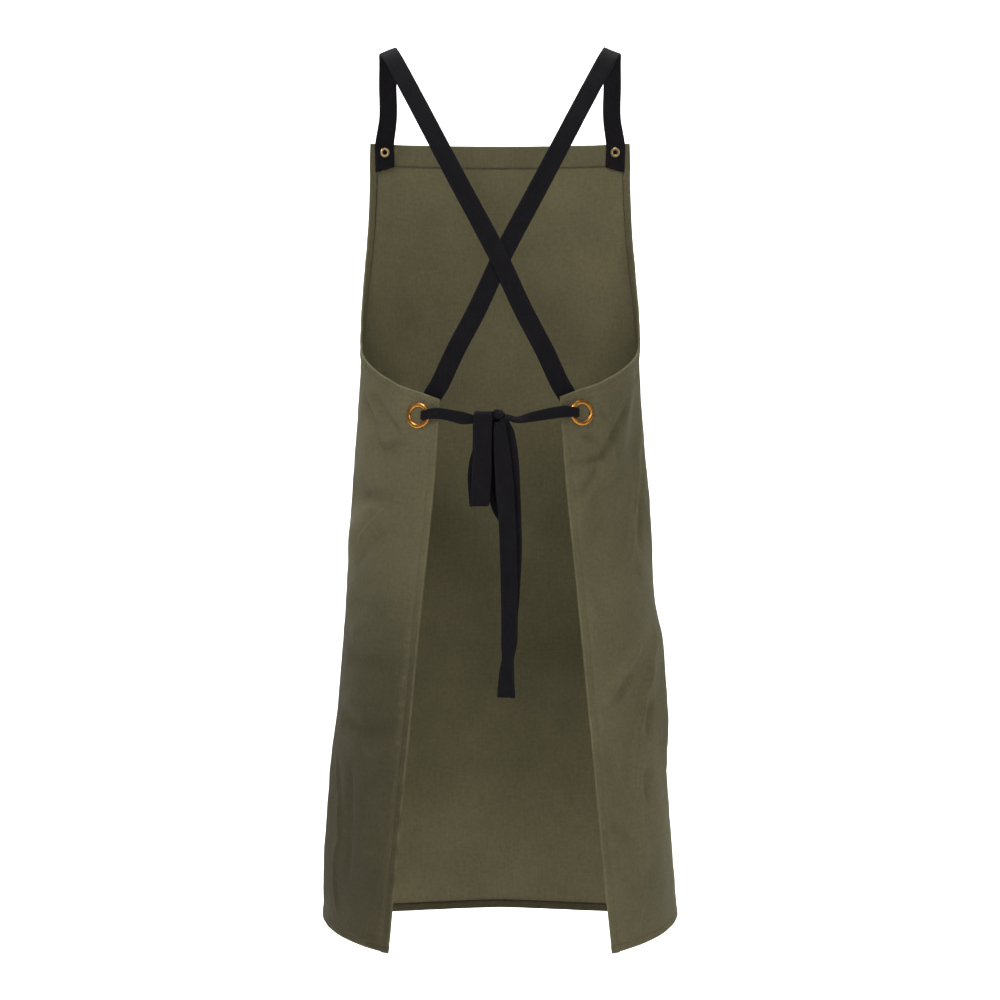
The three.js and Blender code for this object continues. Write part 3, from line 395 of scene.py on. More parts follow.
@dataclass(frozen=True)
class ClothForm:
    """The form of the worn cloth, as a surface over girth and fall in mm.

    Girth runs along the cloth from the front centre, positive to the wearer's left, and
    fall runs down from the bib's top edge.
    """

    bib_top_drop: float = 97.0
    apron_length: float = 862.0
    skirt_width: float = 391.0
    skirt_depth: float = 205.0
    waist_drop: float = 294.0
    eyelet_outer: float = 27.6
    eyelet_inset: float = 24.0
    eyelet_below_corner: float = 16.4
    right_flap_lift: float = 3.0
    strap_edge_inset: float = 16.3
    small_eyelet_drop: float = 9.5
    tape_width: float = 20.0
    pad_blend: float = 1.8
    noise_seed: int = 11

    def level(self, column: int, fall: Array) -> Array:
        """Read one column of the body's levels at falls."""
        return read_curve(BODY_LEVELS[:, 0], BODY_LEVELS[:, column], fall / self.apron_length)

    def sections(self, falls: Array) -> tuple[Array, Array]:
        """Work out the half plans at falls: a quarter ellipse, then a flap's arc.

        Args:
            falls: One fall for each plan.

        Returns:
            The plans' points, and the length of cloth up to each of them.
        """
        half = (self.level(1, falls) * self.skirt_width)[:, None]
        side_y = (self.level(2, falls) * self.skirt_depth)[:, None]
        front = (self.level(3, falls) * self.skirt_depth)[:, None]
        turn = np.radians(self.level(6, falls))[:, None]
        flap_radius = (half - (self.level(4, falls) * self.skirt_width)[:, None]) / (1 - np.cos(turn))
        back_radius = (self.level(5, falls) * self.skirt_depth)[:, None] / np.sin(turn)
        quarter = np.linspace(0, math.pi / 2, SECTION_STEPS + 1)[None, :]
        arc = np.linspace(0, 1, SECTION_STEPS + 1)[None, 1:] * turn
        x = np.hstack([half * np.sin(quarter), half - flap_radius * (1 - np.cos(arc))])
        y = np.hstack([side_y - front * np.cos(quarter), side_y + back_radius * np.sin(arc)])
        plan = np.stack([x, y], axis=-1)
        step = np.linalg.norm(np.diff(plan, axis=1), axis=-1)
        run = np.hstack([np.zeros((len(falls), 1)), np.cumsum(step, axis=1)])
        return plan, run

    def edge_length(self, fall: Array) -> Array:
        """Length of cloth from the front centre to the side edge at falls."""
        fall = np.atleast_1d(np.asarray(fall, float))
        _, run = self.sections(fall)
        share = fall / self.waist_drop
        reach = np.where(share >= 1, 2.0, read_curve(SIDE_EDGE[:, 0], SIDE_EDGE[:, 1], share))
        place = np.minimum(reach * SECTION_STEPS, run.shape[1] - 1.001)
        index = place.astype(int)
        row = np.arange(len(fall))
        return run[row, index] + (run[row, index + 1] - run[row, index]) * (place - index)

    @staticmethod
    def _along(plan: Array, run: Array, row: Array, length: Array) -> Array:
        """Find the plan points at lengths of cloth, each in its own row of plans."""
        count = run.shape[1]
        apart = 10.0 * (run.max() + 1.0)
        stacked = (run + apart * np.arange(len(run))[:, None]).ravel()
        index = np.searchsorted(stacked, length + apart * row) - row * count
        index = np.clip(index, 1, count - 1)
        low, high = run[row, index - 1], run[row, index]
        share = ((length - low) / (high - low))[:, None]
        return plan[row, index - 1] * (1 - share) + plan[row, index] * share

    @staticmethod
    def _ridge(table_row: Array, place: Array, width: float, skew: float) -> Array:
        """Height of one ridge of unit height: a bell across its line, faded at the ends."""
        start, end = table_row[:2], table_row[2:4]
        line = end - start
        offset = place - start
        along = offset @ line / (line @ line)
        nearest = np.clip(along, 0, 1)[..., None] * line
        gap = offset - nearest
        reach = np.linalg.norm(gap, axis=-1)
        sine = (gap[..., 0] * line[1] - gap[..., 1] * line[0]) / (np.linalg.norm(line) * reach + 1e-6)
        away = reach / (width * (1 + skew * sine))
        return np.exp(-away * away) * fade(np.abs(along - 0.5), 0.2, 0.75)

    def fold_height(self, side: Array, share: Array, drop: Array) -> Array:
        """How far the broad folds lift the cloth, in mm."""
        scale = np.array([self.skirt_width, self.apron_length] * 2)
        place = np.stack([share * self.skirt_width, drop * self.apron_length], axis=-1)
        height = np.zeros(share.shape)
        for row in BROAD_FOLDS:
            ridge = self._ridge(row[1:5] * scale, place, row[5] * self.skirt_depth, 0.0)
            height += np.where(side == row[0], ridge * row[6] * self.skirt_depth, 0.0)
        return height

    def fine_height(self, girth: Array, fall: Array) -> Array:
        """How far fine folds and soft ripples lift the cloth, in mm."""
        falls, row = np.unique(fall, return_inverse=True)
        whole = self.sections(falls)[1][:, -1]
        share = np.abs(girth) / whole[row].reshape(girth.shape)
        side = np.where(girth < 0, -1.0, 1.0)
        scale = np.array([self.skirt_width, self.apron_length] * 2)
        place = np.stack([share * self.skirt_width, fall], axis=-1)
        height = np.zeros(share.shape)
        for row in FINE_FOLDS:
            ridge = self._ridge(row[1:5] * scale, place, row[5], row[7])
            height += np.where(side == row[0], ridge * row[6], 0.0)
        height *= 1.0 + 1.4 * (1 - fade(share, 0.64, 0.74))
        drape = 0.30 * ripples(girth, fall, 80, 9, self.noise_seed, 2.2)
        rumple = 0.17 * ripples(girth, fall, 24, 14, self.noise_seed + 1, 1.3)
        skirt = 1 - fade(fall, 0.12 * self.waist_drop, self.waist_drop)
        return height + drape * (0.25 + 0.75 * skirt) + rumple

    def calm(self, point: Array) -> Array:
        """Weigh how free the cloth is to ripple: 0 on the pads and near the straps."""
        free = np.ones(point.shape[:-1])
        for pad in self.pads:
            reach = np.linalg.norm(point - pad.centre, axis=-1)
            free *= 1 - fade(reach, pad.calm_radius, 1.7 * pad.calm_radius)
        return free

    def pressed(self, point: Array) -> Array:
        """Height of the ring that a large eyelet's tool has pressed into the cloth."""
        height = np.zeros(point.shape[:-1])
        for pad in self.pads[:2]:
            reach = np.linalg.norm(point - pad.centre, axis=-1)
            height += 0.30 * np.exp(-((reach - 18.4) / 1.5) ** 2) - 0.30 * np.exp(-((reach - 15.2) / 1.3) ** 2)
        return height

    def loose(self, girth: Array, fall: Array) -> tuple[Array, Array]:
        """Find the cloth's outer face before it is pressed flat at the eyelets.

        Args:
            girth: Signed girths in mm.
            fall: Falls in mm, of the same shape.

        Returns:
            One point and one level outward direction for each place.
        """
        shape = girth.shape
        girth, fall = girth.ravel(), fall.ravel()
        side = np.where(girth < 0, -1.0, 1.0)
        length = np.abs(girth)
        falls, row = np.unique(fall, return_inverse=True)
        plan, run = self.sections(falls)
        here = self._along(plan, run, row, length)
        tangent = unit(self._along(plan, run, row, length + PROBE) - here)
        share = length / run[row, -1]
        drop = fall / self.apron_length
        hang = read_curve(HEM_LINE[:, 0], HEM_LINE[:, 1], share) * self.apron_length
        rise = self.right_flap_lift * (1 - fade(share, 0.5, 0.85)) * fade(drop, 0.42, 0.75)
        rise = np.where(side < 0, rise, 0.0)
        z = rise - self.bib_top_drop - fall - hang * (1 - fade(drop, 0.5, 1.0))
        outward = np.stack([tangent[:, 1], -tangent[:, 0]], axis=-1)
        here = here + outward * self.fold_height(side, share, drop)[:, None]
        point = np.column_stack([side * here[:, 0], here[:, 1], z])
        level = np.column_stack([side * outward[:, 0], outward[:, 1], 0 * z])
        return point.reshape(*shape, 3), level.reshape(*shape, 3)

    def make_pad(self, girth: float, fall: float, flat_radius: float, calm_radius: float) -> Pad:
        """Make the pad at a place of the cloth."""
        places, _ = self.loose(np.array([girth, girth + PROBE, girth]), np.array([fall, fall, fall + PROBE]))
        normal = unit(np.cross(places[2] - places[0], places[1] - places[0]))
        return Pad(places[0], normal, flat_radius, calm_radius)

    @cached_property
    def strap_girth(self) -> float:
        """Girth at which a strap is sewn to the bib."""
        return float(self.edge_length(self.small_eyelet_drop)[0]) - self.strap_edge_inset

    @cached_property
    def pads(self) -> list[Pad]:
        """The pads of the left and right large eyelets, then of the small ones."""
        fall = self.waist_drop + self.eyelet_below_corner
        girth = float(self.edge_length(fall)[0]) - self.eyelet_inset
        small = self.small_eyelet_drop
        large = (self.eyelet_outer, 0.58 * self.eyelet_outer)
        strap = (self.tape_width, self.tape_width)
        return [self.make_pad(girth, fall, *large), self.make_pad(-girth, fall, *large),
                self.make_pad(self.strap_girth, small, *strap),
                self.make_pad(-self.strap_girth, small, *strap)]

    def surface(self, girth: Array, fall: Array, fine: bool = True) -> Array:
        """Find points of the cloth's outer face, flat round each eyelet.

        Args:
            girth: Signed girths in mm.
            fall: Falls in mm, of the same shape.
            fine: Whether the fine folds and ripples are added.

        Returns:
            One point for each place.
        """
        girth, fall = np.broadcast_arrays(np.asarray(girth, float), np.asarray(fall, float))
        point, level = self.loose(girth, fall)
        for pad in self.pads:
            offset = point - pad.centre
            weight = fade(np.linalg.norm(offset, axis=-1), pad.flat_radius,
                          self.pad_blend * pad.flat_radius)
            point = point - pad.normal * (offset @ pad.normal * weight)[..., None]
        if fine:
            lift = self.fine_height(girth, fall) * self.calm(point) + self.pressed(point)
            point = point + level * lift[..., None]
        return point

    def normal(self, girth: Array, fall: Array, fine: bool = True) -> Array:
        """Find the outward directions of the cloth, by small steps both ways."""
        along = self.surface(girth + PROBE, fall, fine) - self.surface(girth - PROBE, fall, fine)
        down = self.surface(girth, fall + PROBE, fine) - self.surface(girth, fall - PROBE, fine)
        return unit(np.cross(down, along))


@dataclass(frozen=True)
class CanvasFinish:
    """Washed olive cotton: twill lines, warp streaks, mottling and rubbed edges, with painted light and painted
    shade read from the mesh.
    """

    colour: tuple[float, float, float] = (0.112, 0.0995, 0.0555)
    twill_pitch: float = 0.0011
    roughness: float = 0.92

    def build(self) -> bpy.types.Material:
        """Make the material from nodes on the piece's own pattern coordinates."""
        graph = Graph("olive_canvas")
        uv = graph.pattern()
        diagonal = graph.mapping(uv, scale=(1.0, 1.0, 1.0), turn=math.radians(52))
        twill = graph.wave(diagonal, self.twill_pitch, distortion=0.6, detail_scale=3.0)
        warp = graph.noise(graph.mapping(uv, scale=(1.0, 0.04, 1.0)), 900, 3)
        weft = graph.noise(graph.mapping(uv, scale=(0.05, 1.0, 1.0)), 800, 3)
        patch = graph.noise(graph.place(), 14, 4)
        speck = graph.noise(uv, 260, 4)
        streak = graph.blend_values(warp, weft, 0.35)
        dark = tuple(c * 0.91 for c in self.colour)
        light = tuple(c * 1.09 for c in self.colour)
        shade = graph.ramp(streak, ((0.30, dark), (0.70, light)))
        shade = graph.tint(shade, graph.ramp(patch, ((0.32, (0.90, 0.91, 0.90)), (0.68, (1.08, 1.07, 1.06)))))
        shade = graph.tint(shade, graph.ramp(speck, ((0.35, (0.93, 0.93, 0.93)), (0.65, (1.06, 1.06, 1.06)))))
        # The rubbed tint lightens real rubbed edges and also paints light on the cloth's inner face.
        rubbed_and_lit = graph.tint(shade, None, (1.34, 1.33, 1.30))
        wear_and_shading = graph.attribute("wear_and_shading")
        shade = graph.mix(wear_and_shading, shade, rubbed_and_lit)
        # Below zero the attribute paints shade: the lower left flap and the bottom hem's inner side are
        # darkened.
        painted_dark = graph.tint(shade, None, (0.22, 0.20, 0.20))
        shade = graph.mix(graph.math("MULTIPLY", wear_and_shading, -1.0), shade, painted_dark)
        height = graph.blend_values(twill, streak, 0.45)
        bump = graph.bump(height, 0.55, 0.00035)
        bump = graph.bump(graph.noise(uv, 70, 4), 0.35, 0.0012, bump)
        graph.surface(shade, self.roughness, bump, sheen=0.02, specular=0.15)
        return graph.material


@dataclass(frozen=True)
class TapeFinish:
    """Near-black cotton tape: herringbone ribs and paler selvedges."""

    colour: tuple[float, float, float] = (0.0080, 0.0072, 0.0087)
    width: float = 0.020
    rib: float = 0.0022
    pitch: float = 0.0012

    def build(self) -> bpy.types.Material:
        """Make the material from nodes on the tape's own pattern coordinates."""
        graph = Graph("black_tape")
        uv = graph.pattern()
        across, along = graph.split(uv)
        zigzag = graph.math("PINGPONG", across, self.rib)
        slope = graph.math("ADD", along, zigzag)
        lines = graph.math("SINE", graph.math("MULTIPLY", slope, math.tau / self.pitch))
        ribs = graph.math("PINGPONG", across, self.rib / 2)
        ribs = graph.math("MULTIPLY", ribs, 2 / self.rib)
        weave = graph.math("MULTIPLY_ADD", lines, 0.5, 0.5)
        height = graph.blend_values(weave, ribs, 0.45)
        fuzz = graph.noise(graph.mapping(uv, scale=(1.0, 0.15, 1.0)), 1400, 3)
        patch = graph.noise(uv, 45, 3)
        dark = tuple(c * 0.62 for c in self.colour)
        light = tuple(c * 1.55 for c in self.colour)
        shade = graph.ramp(graph.blend_values(height, fuzz, 0.55), ((0.25, dark), (0.80, light)))
        shade = graph.tint(shade, graph.ramp(patch, ((0.3, (0.86, 0.86, 0.88)), (0.7, (1.14, 1.13, 1.12)))))
        wear_and_shading = graph.attribute("wear_and_shading")
        shade = graph.mix(wear_and_shading, shade, graph.tint(shade, None, (1.9, 1.85, 1.8)))
        bump = graph.bump(height, 0.7, 0.0003)
        bump = graph.bump(fuzz, 0.3, 0.0004, bump)
        graph.surface(shade, 0.95, bump, specular=0.12)
        return graph.material


@dataclass(frozen=True)
class BrassFinish:
    """Warm polished brass with fine scratches and a little tarnish."""

    name: str = "warm_brass"
    colour: tuple[float, float, float] = (0.56, 0.25, 0.052)
    roughness: float = 0.22

    def build(self) -> bpy.types.Material:
        """Make the material from nodes on object coordinates."""
        graph = Graph(self.name)
        place = graph.place()
        cloud = graph.noise(place, 160, 4)
        scratch = graph.noise(graph.mapping(place, scale=(1.0, 1.0, 14.0)), 900, 2)
        dark = tuple(c * 0.72 for c in self.colour)
        shade = graph.ramp(cloud, ((0.32, dark), (0.62, self.colour)))
        rough = graph.value_range(cloud, self.roughness - 0.05, self.roughness + 0.12)
        bump = graph.bump(scratch, 0.12, 0.0001)
        graph.surface(shade, rough, bump, metallic=1.0)
        return graph.material


@dataclass(frozen=True)
class ThreadFinish:
    """Matt sewing thread with a twisted ply."""

    name: str = "olive_thread"
    colour: tuple[float, float, float] = (0.175, 0.152, 0.090)

    def build(self) -> bpy.types.Material:
        """Make the material from nodes on the stitches' own pattern coordinates."""
        graph = Graph(self.name)
        uv = graph.pattern()
        ply = graph.wave(graph.mapping(uv, scale=(1.0, 1.0, 1.0), turn=math.radians(35)), 0.0006, 0.2, 1.0)
        tone = graph.noise(graph.place(), 120, 2)
        dark = tuple(c * 0.72 for c in self.colour)
        light = tuple(c * 1.15 for c in self.colour)
        shade = graph.ramp(graph.blend_values(ply, tone, 0.5), ((0.2, dark), (0.8, light)))
        graph.surface(shade, 0.8, graph.bump(ply, 0.3, 0.0001), specular=0.2)
        return graph.material


class Graph:
    """A small builder of one material's nodes."""

    def __init__(self, name: str) -> None:
        """Start an empty material with its output."""
        self.material = bpy.data.materials.new(name)
        self.material.use_nodes = True
        self.tree = self.material.node_tree
        self.tree.nodes.clear()
        self.output = self.tree.nodes.new("ShaderNodeOutputMaterial")

    def feed(self, socket: Socket, source: object) -> None:
        """Link a socket to an output, or set it to a number or colour."""
        if isinstance(source, Socket):
            self.tree.links.new(source, socket)
        elif isinstance(source, (tuple, list)) and len(source) == 3 and socket.type == "RGBA":
            socket.default_value = (*source, 1.0)
        else:
            socket.default_value = source

    def pattern(self) -> Socket:
        """Read the piece's own pattern coordinates."""
        node = self.tree.nodes.new("ShaderNodeUVMap")
        node.uv_map = "pattern"
        return node.outputs["UV"]

    def place(self) -> Socket:
        """Read object coordinates."""
        return self.tree.nodes.new("ShaderNodeTexCoord").outputs["Object"]

    def attribute(self, name: str) -> Socket:
        """Read a float attribute of the mesh."""
        node = self.tree.nodes.new("ShaderNodeAttribute")
        node.attribute_name = name
        return node.outputs["Fac"]

    def split(self, vector: Socket) -> tuple[Socket, Socket]:
        """Split coordinates into their first two numbers."""
        node = self.tree.nodes.new("ShaderNodeSeparateXYZ")
        self.feed(node.inputs[0], vector)
        return node.outputs[0], node.outputs[1]

    def mapping(self, vector: Socket, scale: Sequence[float],
                turn: float = 0.0) -> Socket:
        """Scale coordinates and turn them about their third axis."""
        node = self.tree.nodes.new("ShaderNodeMapping")
        self.feed(node.inputs["Vector"], vector)
        node.inputs["Scale"].default_value = tuple(scale)
        node.inputs["Rotation"].default_value = (0.0, 0.0, turn)
        return node.outputs["Vector"]

    def noise(self, vector: Socket, scale: float, detail: float) -> Socket:
        """Add soft noise with features of one over scale metres."""
        node = self.tree.nodes.new("ShaderNodeTexNoise")
        self.feed(node.inputs["Vector"], vector)
        node.inputs["Scale"].default_value = scale
        node.inputs["Detail"].default_value = detail
        return node.outputs["Fac"]

    def wave(self, vector: Socket, pitch: float, distortion: float,
             detail_scale: float) -> Socket:
        """Add bands along x with a pitch in metres."""
        node = self.tree.nodes.new("ShaderNodeTexWave")
        self.feed(node.inputs["Vector"], vector)
        node.inputs["Scale"].default_value = math.tau / (20 * pitch)
        node.inputs["Distortion"].default_value = distortion
        node.inputs["Detail Scale"].default_value = detail_scale
        return node.outputs["Fac"]

    def math(self, kind: str, *values: object) -> Socket:
        """Add a math node of a kind."""
        node = self.tree.nodes.new("ShaderNodeMath")
        node.operation = kind
        for socket, value in zip(node.inputs, values):
            self.feed(socket, value)
        return node.outputs[0]

    def blend_values(self, first: object, second: object, share: float) -> Socket:
        """Blend two numbers: the first times one minus share, plus the second times share."""
        scaled = self.math("MULTIPLY", first, 1.0 - share)
        return self.math("MULTIPLY_ADD", second, share, scaled)

    def value_range(self, value: object, low: float, high: float) -> Socket:
        """Map noise between 0.3 and 0.7 to a range."""
        node = self.tree.nodes.new("ShaderNodeMapRange")
        self.feed(node.inputs["Value"], value)
        for name, number in (("From Min", 0.3), ("From Max", 0.7), ("To Min", low), ("To Max", high)):
            node.inputs[name].default_value = number
        return node.outputs["Result"]

    def ramp(self, value: object, stops: Sequence[tuple[float, Sequence[float]]]) -> Socket:
        """Turn a number into a colour between stops."""
        node = self.tree.nodes.new("ShaderNodeValToRGB")
        self.feed(node.inputs["Fac"], value)
        for element, (place, colour) in zip(node.color_ramp.elements, stops):
            element.position = place
            element.color = (*colour, 1.0)
        return node.outputs["Color"]

    def mix(self, factor: object, first: object, second: object,
            kind: str = "MIX") -> Socket:
        """Mix two colours."""
        node = self.tree.nodes.new("ShaderNodeMix")
        node.data_type = "RGBA"
        node.blend_type = kind
        self.feed(node.inputs["Factor"], factor)
        self.feed(node.inputs[6], first)
        self.feed(node.inputs[7], second)
        return node.outputs[2]

    def tint(self, colour: object, other: object, by: Sequence[float] = (1, 1, 1)) -> Socket:
        """Multiply a colour by another one, or by three numbers."""
        return self.mix(1.0, colour, tuple(by) if other is None else other, "MULTIPLY")

    def bump(self, height: object, strength: float, distance: float,
             under: object = None) -> Socket:
        """Add a bump, over another one where it is given."""
        node = self.tree.nodes.new("ShaderNodeBump")
        node.inputs["Strength"].default_value = strength
        node.inputs["Distance"].default_value = distance
        self.feed(node.inputs["Height"], height)
        if under is not None:
            self.feed(node.inputs["Normal"], under)
        return node.outputs["Normal"]

    def surface(self, colour: object, roughness: object, normal: object, metallic: float = 0.0,
                sheen: float = 0.0, specular: float = 0.5) -> None:
        """End the graph in a principled shader."""
        node = self.tree.nodes.new("ShaderNodeBsdfPrincipled")
        self.feed(node.inputs["Base Color"], colour)
        self.feed(node.inputs["Roughness"], roughness)
        self.feed(node.inputs["Normal"], normal)
        node.inputs["Metallic"].default_value = metallic
        node.inputs["Specular IOR Level"].default_value = specular
        node.inputs["Sheen Weight"].default_value = sheen
        node.inputs["Sheen Roughness"].default_value = 0.5
        self.tree.links.new(node.outputs[0], self.output.inputs["Surface"])


class Finishes:
    """The materials that the pieces share, each made once."""

    def __init__(self) -> None:
        """Build every finish."""
        self.canvas = CanvasFinish().build()
        self.tape = TapeFinish().build()
        self.brass = BrassFinish().build()
        self.old_brass = BrassFinish("old_brass", (0.50, 0.36, 0.17), 0.30).build()
        self.thread = ThreadFinish().build()
        self.dull_thread = ThreadFinish("dull_thread", (0.120, 0.105, 0.062)).build()
        # A darker copy of the thread for the inner rows: painted shade along the hems' fold edges.
        self.shaded_thread = ThreadFinish("shaded_thread", (0.052, 0.042, 0.026)).build()

    @staticmethod
    def dress(item: Item, material: bpy.types.Material, slot: str,
              *nodes: str) -> Item:
        """Give a piece its material, body and the nodes that it stands for."""
        item.data.materials.clear()
        item.data.materials.append(material)
        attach(item, "root")
        if nodes:
            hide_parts(*nodes)
        LOG.info("%s: %d faces", item.name, len(item.data.polygons))
        return item


@dataclass(frozen=True)
class Stitching:
    """Rows of sewn stitches: short rods whose ends dip into the cloth."""

    length: float = 2.5
    pitch: float = 3.1
    width: float = 0.55
    height: float = 0.42
    sides: int = 6

    def rods(self, route: Array, normals: Array) -> tuple[Array, Array, Array]:
        """Place rods along a route.

        A rod is a ring of sides carried along three stations of its arc, with a pole at
        each end that lies under the cloth.

        Args:
            route: Points of the row, in order.
            normals: The cloth's outward direction at each point.

        Returns:
            Centres, unit directions and unit normals of the rods.
        """
        step = np.linalg.norm(np.diff(route, axis=0), axis=-1)
        run = np.concatenate([[0.0], np.cumsum(step)])
        middle = np.arange(0.5 * self.pitch, run[-1] - 0.4 * self.pitch, self.pitch)

        def at(values: Array, places: Array) -> Array:
            return np.column_stack([np.interp(places, run, values[:, i]) for i in range(3)])

        ahead = at(route, middle + 0.3 * self.length) - at(route, middle - 0.3 * self.length)
        return at(route, middle), unit(ahead), unit(at(normals, middle))

    def build(self, name: str, rows: Sequence[tuple[Array, Array]]) -> Item:
        """Make one object of all the stitches of several rows.

        Args:
            name: Name of the object.
            rows: Route and normals of each row.

        Returns:
            The object.
        """
        parts = [self.rods(route, normals) for route, normals in rows]
        centre, along, normal = (np.concatenate([part[i] for part in parts]) for i in range(3))
        across = np.cross(normal, along)
        turn = np.linspace(0, math.tau, self.sides, endpoint=False)
        places = np.array([-0.36, 0.0, 0.36])
        swell = np.array([0.80, 1.0, 0.80])
        rise = np.array([0.02, 0.16, 0.02])
        ring = (centre[:, None, None, :]
                + along[:, None, None, :] * (places * self.length)[None, :, None, None]
                + across[:, None, None, :] * (np.cos(turn) * self.width / 2)[None, None, :, None]
                * swell[None, :, None, None]
                + normal[:, None, None, :] * (rise[:, None] + swell[:, None] * np.sin(turn)
                                              * self.height / 2)[None, :, :, None])
        poles = (centre[:, None, :] + along[:, None, :] * (np.array([-0.5, 0.5]) * self.length)[None, :, None]
                 - normal[:, None, :] * 0.22)
        count = len(centre)
        each = 3 * self.sides + 2
        points = np.concatenate([ring.reshape(count, -1, 3), poles], axis=1).reshape(-1, 3)
        quads = grid_faces(3, self.sides, around=True)
        side = np.arange(self.sides)
        beside = (side + 1) % self.sides
        first = np.stack([side, beside, np.full(self.sides, 3 * self.sides)], axis=-1)
        last = np.stack([2 * self.sides + beside, 2 * self.sides + side,
                         np.full(self.sides, 3 * self.sides + 1)], axis=-1)
        caps = np.vstack([first, last])
        base = (np.arange(count) * each)[:, None, None]
        uv_along = np.concatenate([np.repeat(places, self.sides), [-0.5, 0.5]]) * self.length
        uv_across = np.concatenate([np.tile(turn, 3) * 0.1, [0.0, 0.0]])
        uv = np.tile(np.column_stack([uv_across, uv_along]) * MM, (count, 1))
        return make_object(name, points, (quads[None] + base).reshape(-1, 4),
                           (caps[None] + base).reshape(-1, 3), uv)


